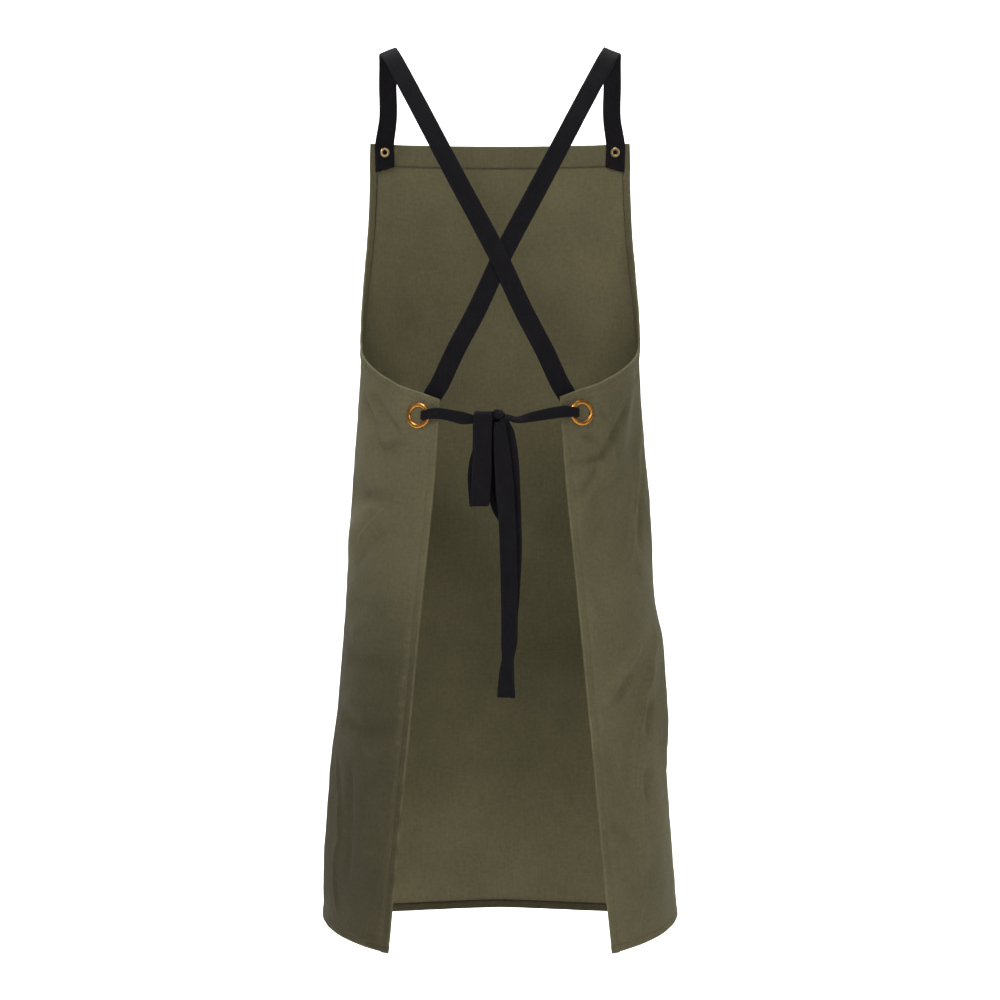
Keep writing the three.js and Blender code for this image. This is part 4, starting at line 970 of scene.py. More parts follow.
@dataclass
class ApronPanel:
    """The cloth of bib, skirt and flaps, with its hems, facing and stitching."""

    form: ClothForm
    finishes: Finishes
    cloth_thickness: float = 1.2
    hem_thickness: float = 2.6
    side_hem: float = 9.4
    bottom_hem: float = 9.0
    facing: float = 25.0
    front_spacing: float = 7.5
    flap_spacing: float = 3.0
    flap_from: float = 0.55
    flat_width: float = 0.745
    flat_length: float = 0.862
    flat_area: float = 0.53

    def rows(self) -> Array:
        """Falls of the cloth's rows, close together along the armholes and the hems."""
        form = self.form
        turn = 0.74 * form.waist_drop
        spans = ((1.2, turn, 4.4), (turn, form.waist_drop, 1.9),
                 (form.waist_drop, form.apron_length - 1.2, 3.0))
        parts = [np.linspace(a, b, max(2, round((b - a) / s) + 1))[:-1] for a, b, s in spans]
        return np.concatenate([*parts, [form.apron_length - 1.2]])

    def hem_along_row(self, fall: Array) -> Array:
        """Width of the side hem along a row, larger where the edge runs aslant."""
        form = self.form
        slope = (form.edge_length(fall) - form.edge_length(fall - PROBE)) / PROBE
        slope = np.where(fall >= form.waist_drop, 0.0, slope)
        return np.minimum(np.hypot(1, slope), 3.0)

    def girths(self, falls: Array) -> Array:
        """Signed girths of the columns at each row, from the right edge to the left."""
        form = self.form
        edge = form.edge_length(falls)
        tuck = 1.6 * self.hem_along_row(falls)
        half = 0.5 * self.flat_width / MM
        front = np.linspace(0, self.flap_from, round(self.flap_from * half / self.front_spacing) + 1)[1:]
        flap = np.linspace(self.flap_from, 1, round((1 - self.flap_from) * half / self.flap_spacing) + 1)[1:]
        shares = np.concatenate([front, flap])
        right = shares[None, :] * (edge - tuck)[:, None]
        return np.hstack([-right[:, ::-1], np.zeros((len(falls), 1)), right])

    def pucker(self, along: Array, inset: Array, seed: int) -> Array:
        """Small gathers that a seam pulls into the cloth beside it, in mm."""
        wave = ripples(along, inset * 0.6, 11.5, 7, seed)
        strength = 0.42 + 0.30 * ripples(along, along * 0, 140, 4, seed + 40)
        near = np.exp(-((inset - 10.0) / 6.5) ** 2) * (1 - fade(inset, 8.2, 11.5))
        return strength * wave * near

    @staticmethod
    def flap_shade(girth: Array, fall: Array) -> Array:
        """How much painted shade darkens the lower left flap, from 0 to 1."""
        return 0.66 * (1 - fade(girth, 150.0, 210.0)) * (1 - fade(fall, 390.0, 640.0))

    def cloth(self) -> Item:
        """Build the cloth as two faces over one grid of rows and columns."""
        form = self.form
        falls = self.rows()
        girths = self.girths(falls)
        fall = np.broadcast_to(falls[:, None], girths.shape)
        point = form.surface(girths, fall)
        normal = form.normal(girths, fall)
        edge = form.edge_length(falls)[:, None]
        inset = (edge - np.abs(girths)) / self.hem_along_row(falls)[:, None]
        gather = np.where(girths > 0, self.pucker(fall, inset, 5), self.pucker(fall, inset, 6))
        outer = point + normal * gather[..., None]
        inner = outer - normal * self.cloth_thickness
        points, quads = shell(outer, inner)
        uv = cut_place(girths, fall)
        lift = np.abs(gather).ravel() * 0.3
        wear_and_shading = 0.10 + lift + 0.14 * np.exp(-(inset.ravel() - 10.0) ** 2 / 6.0)
        # Painted shade darkens the lower left flap, though its cloth is the same.
        wear_and_shading = np.clip(wear_and_shading - self.flap_shade(girths, fall).ravel(), -1, 1)
        # The inner face is painted lighter: its value is raised by 0.55, painted light on the inside of the
        # cloth.
        return make_object("apron_cloth", points, quads, [], np.vstack([uv, uv]),
                           np.concatenate([wear_and_shading, np.clip(wear_and_shading * 0.5 + 0.55, 0, 1)]))

    def strip(self, name: str, girth: Array, fall: Array, inward: Array, width: float,
              outer_rise: float, depth: float, seed: int, dip: float | None = None,
              inner_shade: float = 0.0) -> Item:
        """Sweep a folded hem along an edge of the cloth.

        The section is a closed loop across the hem: over the outer side, round the fold at
        the edge, and back along the inner side. Each of its points lies on the cloth's own
        surface, raised or sunk along the normal.

        Args:
            name: Name of the object.
            girth: Girths along the edge.
            fall: Falls along the edge.
            inward: Unit direction into the cloth, in girth and fall, at each place.
            width: Width of the hem.
            outer_rise: How far the outer side stands over the cloth's outer face.
            depth: How far the inner side lies under the outer face.
            seed: Seed of the small gathers.
            dip: How far in the outer side dips under the cloth, if it does so early.
            inner_shade: How much painted shade darkens the inner side, from 0 to 1.

        Returns:
            The object.
        """
        radius = (outer_rise + depth) / 2
        steps = max(8, round(width / 1.6))
        flat = np.linspace(width, radius, steps)
        arc = np.linspace(0, math.pi, 9)[1:-1]
        inset = np.concatenate([flat, radius * (1 - np.sin(arc)), flat[::-1]])
        height = np.concatenate([np.full(steps, outer_rise), outer_rise - radius * (1 - np.cos(arc)),
                                 np.full(steps, -depth)])
        fold = np.exp(-((width - inset) / 0.7) ** 2)
        top = height > outer_rise - radius
        height = np.where(top, height - fold * (outer_rise + 0.7), height + fold * (depth - 1.5))
        if dip is not None:
            height = np.where(top, height - (outer_rise + 0.45) * (1 - fade(inset, dip, 2 * dip)), height)
        places = np.stack([girth, fall], axis=-1)
        step = np.linalg.norm(np.diff(places, axis=0), axis=-1)
        run = np.concatenate([[0.0], np.cumsum(step)])
        g = girth[:, None] + inward[:, :1] * inset[None, :]
        f = fall[:, None] + inward[:, 1:] * inset[None, :]
        gather = ripples(run[:, None], inset[None, :] * 0.4, 6.5, 6, seed) * 0.10
        rope = np.sin(math.tau * (run[:, None] / 12.0 - inset[None, :] / 26.0)
                      + 1.2 * ripples(run[:, None], 0 * run[:, None], 70, 4, seed + 2))
        pull = np.clip(0.55 + 0.6 * ripples(run[:, None], 0 * run[:, None], 160, 4, seed + 4), 0, 1.2)
        gather = (gather + 0.34 * rope * pull) * np.exp(-((inset - 0.62 * width) / (0.42 * width)) ** 2)[None, :]
        groove = 0.30 * np.exp(-((inset - width + 1.2) / 0.75) ** 2) * np.where(top, -1.0, 1.0)
        rise = height[None, :] + gather + groove[None, :]
        points = self.form.surface(g, f) + self.form.normal(g, f) * rise[..., None]
        rows, columns = rise.shape
        quads = grid_faces(rows, columns, around=True)
        middle = points[[0, -1]].mean(axis=1)
        ring = np.arange(columns)
        after = (ring + 1) % columns
        centre = rows * columns
        last = (rows - 1) * columns
        caps = end_caps(ring, after, last, centre)
        all_points = np.vstack([points.reshape(-1, 3), middle])
        uv = cut_place(g, f)
        uv = np.vstack([uv, uv[[0, -1]]])
        edge_wear_and_shade = 0.75 * np.exp(-(inset / 1.6) ** 2) + 0.14
        edge_wear_and_shade = edge_wear_and_shade * (0.8 + 0.25 * ripples(run[:, None], inset[None, :], 24, 5, seed + 7))
        # Painted shade: the outer side darkens on the lower left flap, and a shaded inner side drops its rubbed
        # edge and darkens all over.
        edge_wear_and_shade = np.where(top, edge_wear_and_shade - self.flap_shade(g, f), edge_wear_and_shade * (inner_shade == 0) - inner_shade)
        wear_and_shading = np.concatenate([np.clip(edge_wear_and_shade, -1, 1).ravel(), [0.0, 0.0]])
        return make_object(name, all_points, quads, caps, uv, wear_and_shading)

    def side_path(self, side: Side, spacing: float = 1.5) -> tuple[Array, Array, Array]:
        """Follow a side edge from the bib top to the hem at an even spacing.

        Args:
            side: Which side edge.
            spacing: Distance between places in mm.

        Returns:
            Girths and falls along the edge, and the unit direction into the cloth.
        """
        form = self.form
        turn = 0.74 * form.waist_drop
        fine = np.concatenate([np.linspace(0, turn, 160), np.linspace(turn, form.waist_drop, 500)[1:],
                               np.linspace(form.waist_drop, form.apron_length, 420)[1:]])
        edge = form.edge_length(fine)
        run = np.concatenate([[0.0], np.cumsum(np.hypot(np.diff(edge), np.diff(fine)))])
        even = np.linspace(0, run[-1], round(run[-1] / spacing) + 1)
        fall = np.interp(even, run, fine)
        girth = form.edge_length(fall)
        ahead = unit(np.stack([np.gradient(girth), np.gradient(fall)], axis=-1))
        kernel = np.ones(9) / 9
        ahead = unit(np.stack([np.convolve(np.pad(ahead[:, i], 4, "edge"), kernel, "valid")
                               for i in range(2)], axis=-1))
        inward = np.stack([-ahead[:, 1], ahead[:, 0]], axis=-1)
        sign = side.value
        return sign * girth, fall, inward * np.array([sign, 1.0])

    def seam_row(self, girth: Array, fall: Array, face: Face, rise: float) -> tuple[Array, Array]:
        """Lay a row of stitches on a face of the cloth."""
        normal = self.form.normal(girth, fall)
        point = self.form.surface(girth, fall)
        if face is Face.OUTER:
            return point + normal * rise, normal
        return point - normal * rise, -normal

    def build(self) -> list[Item]:
        """Build and dress the panel, its hems, its facing and its seams."""
        form = self.form
        canvas = self.finishes.canvas
        cloth = Finishes.dress(self.cloth(), canvas, "canvas", "apron_panel")
        extras = []
        seams: dict[Face, list[tuple[Array, Array]]] = {face: [] for face in Face}
        pale: list[tuple[Array, Array]] = []
        for side in Side:
            girth, fall, inward = self.side_path(side)
            name = side.name.lower()
            extras.append(self.strip(f"{name}_side_hem", girth, fall, inward, self.side_hem,
                                     0.16, self.hem_thickness, 21 + side.value))
            g, f = girth + inward[:, 0] * 8.2, fall + inward[:, 1] * 8.2
            arm = fall < form.waist_drop - 4.0
            pale.append(self.seam_row(g[arm], f[arm], Face.OUTER, 0.04))
            seams[Face.OUTER].append(self.seam_row(g[~arm], f[~arm], Face.OUTER, 0.02))
            seams[Face.INNER].append(self.seam_row(g, f, Face.INNER, self.hem_thickness - 0.18))
        hem_edge = float(form.edge_length(form.apron_length)[0])
        girth = np.linspace(-hem_edge + 0.7, hem_edge - 0.7, 480)
        fall = np.full(len(girth), form.apron_length)
        up = np.tile([0.0, -1.0], (len(girth), 1))
        # The bottom hem's inner side is darkened with painted shade.
        extras.append(self.strip("bottom_hem", girth, fall, up, self.bottom_hem, 0.22,
                                 self.hem_thickness + 0.3, 31, inner_shade=0.62))
        for face, rise in ((Face.OUTER, 0.08), (Face.INNER, self.hem_thickness + 0.12)):
            seams[face].append(self.seam_row(girth, fall - self.bottom_hem + 1.2, face, rise))
        bib_edge = float(form.edge_length(0.0)[0])
        girth = np.linspace(-bib_edge + 0.7, bib_edge - 0.7, 220)
        fall = np.zeros(len(girth))
        extras.append(self.strip("bib_facing", girth, fall, -up[:1].repeat(len(girth), 0), self.facing,
                                 0.14, self.hem_thickness + 0.1, 41, dip=2.0))
        for face, rise in ((Face.OUTER, 0.06), (Face.INNER, self.hem_thickness - 0.10)):
            seams[face].append(self.seam_row(girth, fall + self.facing - 1.4, face, rise))
        for item in extras:
            Finishes.dress(item, canvas, "canvas")
        # The inner rows take the darker copy of the thread as painted shade.
        for rows, name, thread in ((seams[Face.OUTER], "outer_stitches", self.finishes.dull_thread),
                                   (seams[Face.INNER], "inner_stitches", self.finishes.shaded_thread),
                                   (pale, "armhole_stitches", self.finishes.thread)):
            extras.append(Finishes.dress(Stitching().build(name, rows), thread, "canvas"))
        return [cloth, *extras]


@dataclass
class FrontPocket:
    """The patch pocket on the front, with its mouth hem, divider and double seams."""

    form: ClothForm
    finishes: Finishes
    top_drop: float = 368.0
    height: float = 205.0
    half_width: float = 138.5
    mouth_hem: float = 20.0
    ease: float = 1.6
    thickness: float = 1.2
    hem_thickness: float = 2.6
    gap: float = 0.3
    divider: float = 9.0

    def lay(self, girth: Array, fall: Array, height: Array) -> Array:
        """Find points over the cloth: the patch bulges a little towards its mouth."""
        mouth = fade(fall - self.top_drop, 0, self.height / 2)
        edge = fade(np.abs(girth), self.half_width / 3, self.half_width * 0.96)
        seam = 1 - np.exp(-((girth - self.divider) / 14.0) ** 2)
        rise = self.gap + self.ease * mouth * edge * seam + height
        return self.form.surface(girth, fall) + self.form.normal(girth, fall) * rise[..., None]

    def patch(self) -> Item:
        """Build the patch as a shell whose edges round down to the cloth."""
        across = np.sin(np.linspace(-1, 1, 97) * math.pi / 2) * 0.35 + np.linspace(-1, 1, 97) * 0.65
        down = np.concatenate([np.linspace(0, 2.4, 5), np.linspace(2.4, self.height - 2.4, 64)[1:-1],
                               np.linspace(self.height - 2.4, self.height, 5)])
        girth, fall = np.meshgrid(across * self.half_width, self.top_drop + down)
        from_side = self.half_width - np.abs(girth)
        from_top = fall - self.top_drop
        from_bottom = self.height - from_top
        near = np.minimum(np.minimum(from_side, from_bottom), from_top)
        round_edge = np.sqrt(np.clip(1 - (1 - np.clip(near / 1.6, 0, 1)) ** 2, 0, 1))
        folded = fade(from_top, self.mouth_hem - 0.6, self.mouth_hem + 0.8)
        folded = np.maximum(folded, 0.55 * fade(np.minimum(from_side, from_bottom), 9.0, 11.0))
        full = self.thickness + (self.hem_thickness - self.thickness) * folded
        seam_line = np.exp(-((from_top - self.mouth_hem + 1.5) / 1.2) ** 2) * 0.3
        pucker = 0.12 * ripples(girth, fall, 7, 8, 77) * np.exp(-(near / 9.0) ** 2)
        outer = self.lay(girth, fall, full * (0.35 + 0.65 * round_edge) - seam_line + pucker)
        inner = self.lay(girth, fall, np.zeros(girth.shape))
        points, quads = shell(outer, inner)
        uv = cut_place(girth, fall)
        wear_and_shading = np.clip(0.10 + 0.6 * np.exp(-(near.ravel() / 1.5) ** 2), 0, 1)
        return make_object("pocket_patch", points, quads, [], np.vstack([uv, uv]),
                           np.concatenate([wear_and_shading, wear_and_shading * 0.5]))

    def row(self, girth: Array, fall: Array, rise: float) -> tuple[Array, Array]:
        """Lay a row of stitches on the patch."""
        normal = self.form.normal(girth, fall)
        return self.lay(girth, fall, np.full(girth.shape, rise)), normal

    def back_row(self, girth: Array, fall: Array) -> tuple[Array, Array]:
        """Lay the same row on the inside of the front, where its thread shows."""
        normal = self.form.normal(girth, fall)
        return self.form.surface(girth, fall) - normal * 1.26, -normal

    def seam_lines(self) -> list[tuple[Array, Array]]:
        """Girths and falls of the double seams down both sides, below and at the divider."""
        lines = []
        bottom = self.top_drop + self.height
        for inset in (2.2, 8.6):
            down = np.linspace(self.top_drop + 1, bottom - inset, 90)
            for sign in (-1, 1):
                lines.append((np.full(len(down), sign * (self.half_width - inset)), down))
            across = np.linspace(-self.half_width + inset, self.half_width - inset, 110)
            lines.append((across, np.full(len(across), bottom - inset)))
        down = np.linspace(self.top_drop + 1, bottom - 2.2, 90)
        for offset in (-3.3, 3.3):
            lines.append((np.full(len(down), self.divider + offset), down))
        return lines

    def build(self) -> list[Item]:
        """Build and dress the patch and its seams."""
        patch = Finishes.dress(self.patch(), self.finishes.canvas, "canvas", "front_pocket")
        rows = []
        for girth, fall in self.seam_lines():
            rows.append(self.row(girth, fall, self.thickness + 0.75))
            rows.append(self.back_row(girth, fall))
        mouth = np.linspace(-self.half_width + 1, self.half_width - 1, 110)
        rows.append(self.row(mouth, np.full(len(mouth), self.top_drop + self.mouth_hem - 1.5),
                             self.hem_thickness - 0.1))
        stitches = Finishes.dress(Stitching().build("pocket_stitches", rows), self.finishes.thread, "canvas")
        return [patch, stitches]


@dataclass(frozen=True)
class Stations:
    """Places along a tape: centre, face direction, width, thickness and fold."""

    centre: Array
    face: Array
    width: Array
    thickness: Array
    fold: Array

    @staticmethod
    def join(*parts: "Stations") -> "Stations":
        """Put stretches of a tape one after the other."""
        names = ("centre", "face", "width", "thickness", "fold")
        return Stations(*(np.concatenate([getattr(part, name) for part in parts]) for name in names))


def spline(points: Array, values: Array, place: Array) -> Array:
    """Carry values along a smooth curve through stations, spaced as its points are.

    It is the centripetal Catmull-Rom curve: each piece is a cubic whose end slopes come
    from its neighbours, weighed by the square root of the distances between the points.

    Args:
        points: The stations' centres, which set the spacing.
        values: Rows of numbers to carry, one for each station.
        place: Places along the stations, counted in stations from zero.

    Returns:
        One row of numbers for each place.
    """
    def padded(rows: Array) -> Array:
        return np.vstack([2 * rows[0] - rows[1], rows, 2 * rows[-1] - rows[-2]])

    centres = padded(points)
    rows = padded(values)
    gap = np.sqrt(np.maximum(np.linalg.norm(np.diff(centres, axis=0), axis=-1), 1e-6))
    index = np.clip(np.floor(place).astype(int), 0, len(points) - 2)
    share = (place - index)[:, None]
    p0, p1, p2, p3 = (rows[index + i] for i in range(4))
    d0, d1, d2 = (gap[index + i][:, None] for i in range(3))
    t1 = ((p1 - p0) / d0 - (p2 - p0) / (d0 + d1) + (p2 - p1) / d1) * d1
    t2 = ((p2 - p1) / d1 - (p3 - p1) / (d1 + d2) + (p3 - p2) / d2) * d1
    return (p1 + t1 * share + (3 * (p2 - p1) - 2 * t1 - t2) * share ** 2
            + (2 * (p1 - p2) + t1 + t2) * share ** 3)


@dataclass(frozen=True)
class TapeMaker:
    """Sweeps a woven tape along stations."""

    step: float = 2.0
    across_points: int = 13

    def build(self, name: str, stations: Stations, seed: int, raw_ends: tuple[float, float] = (0.0, 0.0),
              sway: float = 0.25, slant: float = 0.0) -> Item:
        """Sweep the tape's section: two faces with a bead at each selvedge.

        A folded stretch is narrow and thick, with a slit along its lower side and creases
        along its faces.

        Args:
            name: Name of the object.
            stations: Places that the tape passes through.
            seed: Seed of its small sway.
            raw_ends: How ragged the first and last end are, in mm.
            sway: Height of the small waves of its faces, in mm.
            slant: How much further one corner of the first end hangs than the other.

        Returns:
            The object.
        """
        count = len(stations.centre)
        dense = np.linspace(0, count - 1, count * 40)
        line = spline(stations.centre, stations.centre, dense)
        run = np.concatenate([[0.0], np.cumsum(np.linalg.norm(np.diff(line, axis=0), axis=-1))])
        even = np.linspace(0, run[-1], max(8, round(run[-1] / self.step)) + 1)
        place = np.interp(even, run, dense)
        centre = spline(stations.centre, stations.centre, place)
        facts = np.column_stack([stations.face, stations.width, stations.thickness, stations.fold])
        low = np.clip(np.floor(place).astype(int), 0, count - 2)
        share = place - low
        ease = (share * share * (3 - 2 * share) * 0.5 + share * 0.5)[:, None]
        facts = facts[low] * (1 - ease) + facts[low + 1] * ease
        tangent = unit(np.gradient(centre, axis=0))
        across = unit(np.cross(facts[:, :3], tangent))
        outward = np.cross(tangent, across)
        half = facts[:, 3:4] / 2
        thick = facts[:, 4:5] / 2
        fold = facts[:, 5:6]
        a = np.sin(np.linspace(-1, 1, self.across_points) * math.pi / 2)[None, :]
        a = 0.55 * a + 0.45 * np.linspace(-1, 1, self.across_points)[None, :]
        crown = np.sqrt(np.clip(1 - np.abs(a) ** 10, 0, 1))
        bead = 0.10 * np.exp(-((np.abs(a) - 0.93) / 0.05) ** 2) * (1 - fold)
        crease = fold * 0.26 * np.sin(4.2 * a + 0.05 * even[:, None] + seed)
        wave = sway * ripples(even[:, None], a * 6, 46, 5, seed) * (1 - 0.5 * fold)
        cup = 0.35 * ripples(even[:, None], a * 0, 120, 3, seed + 3) * (a * a - 0.4) * (1 - fold)
        body = thick * crown + bead
        top = body + crease + wave + cup
        bottom = -body + 0.4 * crease + wave + cup
        middle = wave + cup
        slit = fold[:, 0] * 0.45
        rows_a = np.column_stack([np.broadcast_to(a, top.shape), np.ones(len(even)) - 0.04,
                                  np.broadcast_to(a[:, ::-1], top.shape), -1 + 0.04 + slit])
        rows_b = np.column_stack([top, middle[:, -1], bottom[:, ::-1], middle[:, 0]])
        points = (centre[:, None, :] + across[:, None, :] * (rows_a * half)[..., None]
                  + outward[:, None, :] * rows_b[..., None])
        fray = np.random.default_rng(seed).uniform(-1, 1, rows_a.shape[1])
        points[0] += tangent[0] * (fray * raw_ends[0])[:, None]
        bias = slant / 2 * rows_a * fade(even, 0.0, 14.0)[:, None]
        points += tangent[:1, None, :] * bias[..., None]
        points[-1] += tangent[-1] * (fray[::-1] * raw_ends[1])[:, None]
        rows, columns = rows_a.shape
        quads = grid_faces(rows, columns, around=True)
        ring = np.arange(columns)
        after = (ring + 1) % columns
        last = (rows - 1) * columns
        hub = rows * columns
        caps = end_caps(ring, after, last, hub)
        all_points = np.vstack([points.reshape(-1, 3), centre[[0, -1]]])
        flat_half = np.maximum(half, 10.0 * fold)
        u = rows_a * flat_half + 40.0
        v = np.broadcast_to(even[:, None], u.shape)
        uv = np.column_stack([u.ravel(), v.ravel()]) * MM
        uv = np.vstack([uv, uv[[0, -1]]])
        edge = np.exp(-((np.abs(rows_a) - 1.0) / 0.10) ** 2) * 0.55
        wear_and_shading = np.concatenate([np.clip(edge, 0, 1).ravel(), [0.3, 0.3]])
        LOG.info("%s runs %.0f mm", name, run[-1])
        return make_object(name, all_points, quads, caps, uv, wear_and_shading)


@dataclass
class StrapsAndBow:
    """The two straps, which go on as waist ties, and the bow that they tie."""

    form: ClothForm
    finishes: Finishes
    tape_width: float = 20.0
    tape_thickness: float = 1.5
    folded_width: float = 10.0
    folded_thickness: float = 3.0
    strap_spread: float = 123.0
    strap_overlap: float = 28.0
    end_width: float = 22.0
    end_slant: float = 6.0
    strap_clearance: float = 0.7
    hem_thickness: float = 2.6
    cloth_thickness: float = 1.2
    flange_thickness: float = 1.2
    gap: float = 0.3
    eyelet_bore: float = 17.2
    shoulder_tilt: float = 0.42
    crossing_reach: float = 60.0
    crossing_clearance: float = 1.0
    bend_clearance: float = 1.5
    bend_share: float = 0.65
    knot_width: float = 20.0
    knot_depth: float = 14.0
    knot_height: float = 12.0
    knot_lean: float = 35.0
    knot_offset: float = -1.0
    knot_back_y: float = 104.0
    knot_below_waist: float = 18.0
    lengths: tuple[float, float, float, float] = (94.0, 109.0, 292.0, 232.0)

    @property
    def shoulder_to_waist(self) -> float:
        """Height of the strap tops over the waist."""
        return self.form.bib_top_drop + self.form.waist_drop

    @property
    def knot_centre(self) -> Array:
        """Centre of the knot."""
        return np.array([self.knot_offset, self.knot_back_y,
                         -self.shoulder_to_waist - self.knot_below_waist])

    def stations(self, centre: Array, face: Array, width: float | Array, thickness: float,
                 fold: float | Array = 0.0) -> Stations:
        """Make stations from arrays or single numbers."""
        count = len(centre)
        return Stations(centre, np.broadcast_to(face, (count, 3)).copy(),
                        np.broadcast_to(np.asarray(width, float), count).copy(),
                        np.full(count, thickness), np.broadcast_to(np.asarray(fold, float), count).copy())

    def bib(self, side: Side) -> Stations:
        """The stretch that lies on the inside of the bib, from its raw end up."""
        pad = self.form.pads[2 if side is Side.LEFT else 3]
        fall = np.array([self.strap_overlap, self.strap_overlap / 2, 2.0])
        girth = np.full(3, side.value * self.form.strap_girth)
        lift = self.hem_thickness + self.strap_clearance + self.tape_thickness / 2
        centre = self.form.surface(girth, fall, False) - self.form.normal(girth, fall, False) * lift
        return self.stations(centre, pad.normal, self.end_width, self.tape_thickness)

    def back(self, side: Side) -> Stations:
        """The stretch over the shoulder and across the back."""
        sign = side.value
        across, depth, drop, turn = STRAP_WAY.T
        angle = np.radians(turn)
        crossing = (self.tape_thickness + self.crossing_clearance) / 2
        near = fade(np.abs(across * self.strap_spread), self.crossing_reach / 3, self.crossing_reach)
        centre = np.column_stack([sign * across * self.strap_spread,
                                  depth * self.form.skirt_depth + sign * crossing * near,
                                  -drop * self.shoulder_to_waist])
        tilt = sign * self.shoulder_tilt * np.sin(angle) * np.maximum(across, 0)
        face = unit(np.column_stack([tilt, -np.cos(angle), np.sin(angle)]))
        return self.stations(centre, face, self.tape_width, self.tape_thickness)

    def through_eyelet(self, side: Side) -> Stations:
        """The bend through a large eyelet, round the strip of cloth beside the hole."""
        pad = self.form.pads[0 if side is Side.LEFT else 1]
        up = np.array([0.0, 0.0, 1.0])
        inward = unit(np.cross(up, pad.normal) * side.value)
        stack = self.cloth_thickness + 2 * self.gap + 2 * self.flange_thickness
        radius = (stack + self.folded_thickness) / 2 + self.bend_clearance
        reach = self.bend_share * radius
        wall = math.sqrt(self.eyelet_bore ** 2 - self.folded_width ** 2) / 2
        inset = wall - 2 * self.gap - self.folded_thickness / 2 + reach
        angle = np.radians([0, 45, 90, 135, 180])[:, None]
        bend = (pad.centre + inward * (inset - reach * np.sin(angle))
                + pad.normal * (-self.cloth_thickness / 2 - radius * np.cos(angle)))
        face = pad.normal * np.cos(angle) + inward * np.sin(angle)
        entry = (pad.centre + inward * (inset + 0.3 * self.folded_width)
                 + pad.normal * (-self.cloth_thickness / 2 - radius) + up * 0.9 * self.folded_width)
        first = self.stations(entry[None], pad.normal, 1.5 * self.folded_width,
                              (self.tape_thickness + self.folded_thickness) / 2, 0.5)
        rest = self.stations(bend, pad.normal, self.folded_width, self.folded_thickness, 1.0)
        return Stations.join(first, Stations(rest.centre, face, rest.width, rest.thickness, rest.fold))

    def tie(self, side: Side, start: Array) -> Stations:
        """The tie from an eyelet into the knot."""
        rows = LEFT_TIE if side is Side.LEFT else RIGHT_TIE
        sign = side.value
        end = self.knot_centre + np.array([sign * 0.28 * self.knot_width, 0, 0])
        along, lift, out, roll, width = (column[:, None] for column in rows.T)
        centre = start * (1 - along) + end * along
        centre = centre + np.hstack([0 * out, out, lift]) * self.folded_width
        turn = np.radians(roll) * sign
        face = np.hstack([0 * turn, -np.cos(turn), -np.sin(turn)])
        widths = width[:, 0] * self.folded_width
        centre = np.vstack([centre, end])
        face = np.vstack([face, face[-1]])
        widths = np.append(widths, 0.8 * widths[-1])
        made = self.stations(centre, face[0], widths, self.folded_thickness, 1.0)
        return Stations(made.centre, face, made.width, made.thickness, made.fold)

    def strap(self, side: Side) -> Stations:
        """A whole strap, from the bib on one side to the knot from the other side."""
        other = Side(-side.value)
        bend = self.through_eyelet(other)
        return Stations.join(self.bib(side), self.back(side), bend, self.tie(other, bend.centre[-1]))

    def bow_piece(self, rows: Array, length: float) -> Stations:
        """A loop or tail below the knot."""
        across, out, fall, width, turn = rows.T
        route = self.knot_centre + np.column_stack([across * self.tape_width, out * self.tape_width,
                                                    -fall * length])
        before = np.vstack([route[:1], route[:-1]])
        after = np.vstack([route[1:], route[-1:]])
        tangent = unit(after - before)
        flat = np.column_stack([np.cos(np.radians(turn)), np.sin(np.radians(turn)), 0 * turn])
        outward = unit(np.cross(flat, tangent))
        made = self.stations(route, outward[0], width * self.tape_width, self.tape_thickness)
        return Stations(made.centre, outward, made.width, made.thickness, made.fold)

    def knot(self) -> Item:
        """Build the knot: a lump whose skin follows two wraps of tape.

        Around the knot, turn runs about X and tip runs from the left end to the right end.
        The radius swells at each wrap and sinks between them, and small creases follow
        the wraps.
        """
        tip, turn = np.meshgrid(np.linspace(-1, 1, 73), np.linspace(0, math.tau, 97)[:-1], indexing="ij")
        lean = tip + 0.22 * np.sin(turn + 0.6)
        wraps = 0.16 * np.exp(-((lean + 0.46) / 0.22) ** 2) + 0.12 * np.exp(-((lean - 0.42) / 0.24) ** 2)
        groove = -0.24 * np.exp(-((lean + 0.08) / 0.06) ** 2) - 0.16 * np.exp(-((lean - 0.74) / 0.05) ** 2)
        crease = 0.045 * np.sin(24 * lean + 1.6 * np.sin(2 * turn)) + 0.06 * np.cos(2 * turn + 2.2 * lean)
        girth = np.sqrt(np.clip(1 - np.abs(tip) ** 2.2, 0, 1))
        radius = girth * (0.92 + wraps + groove + crease * girth)
        size = np.array([self.knot_width, self.knot_depth, self.knot_height]) / 2
        slant = math.radians(self.knot_lean)
        long = tip * size[0]
        tall = radius * np.sin(turn) * size[2]
        x = long * math.cos(slant) - tall * math.sin(slant)
        y = radius * np.cos(turn) * size[1]
        z = long * math.sin(slant) + tall * math.cos(slant)
        points = self.knot_centre + np.stack([x, y, z], axis=-1)
        rows, columns = tip.shape
        quads = grid_faces(rows - 2, columns, around=True)
        body = points[1:-1].reshape(-1, 3)
        ring = np.arange(columns)
        after = (ring + 1) % columns
        last = (rows - 3) * columns
        hub = (rows - 2) * columns
        caps = end_caps(ring, after, last, hub)
        all_points = np.vstack([body, points[0, :1], points[-1, :1]])
        u = (tip[1:-1] * size[0] + 40.0).ravel()
        v = (turn[1:-1] * size[2]).ravel()
        uv = np.column_stack([np.append(u, [40.0, 40.0]), np.append(v, [0.0, 0.0])]) * MM
        wear_and_shading = np.append(np.clip((wraps[1:-1] * 2.2).ravel(), 0, 1) * 0.4, [0.1, 0.1])
        return make_object("bow_knot", all_points, quads, caps, uv, wear_and_shading)

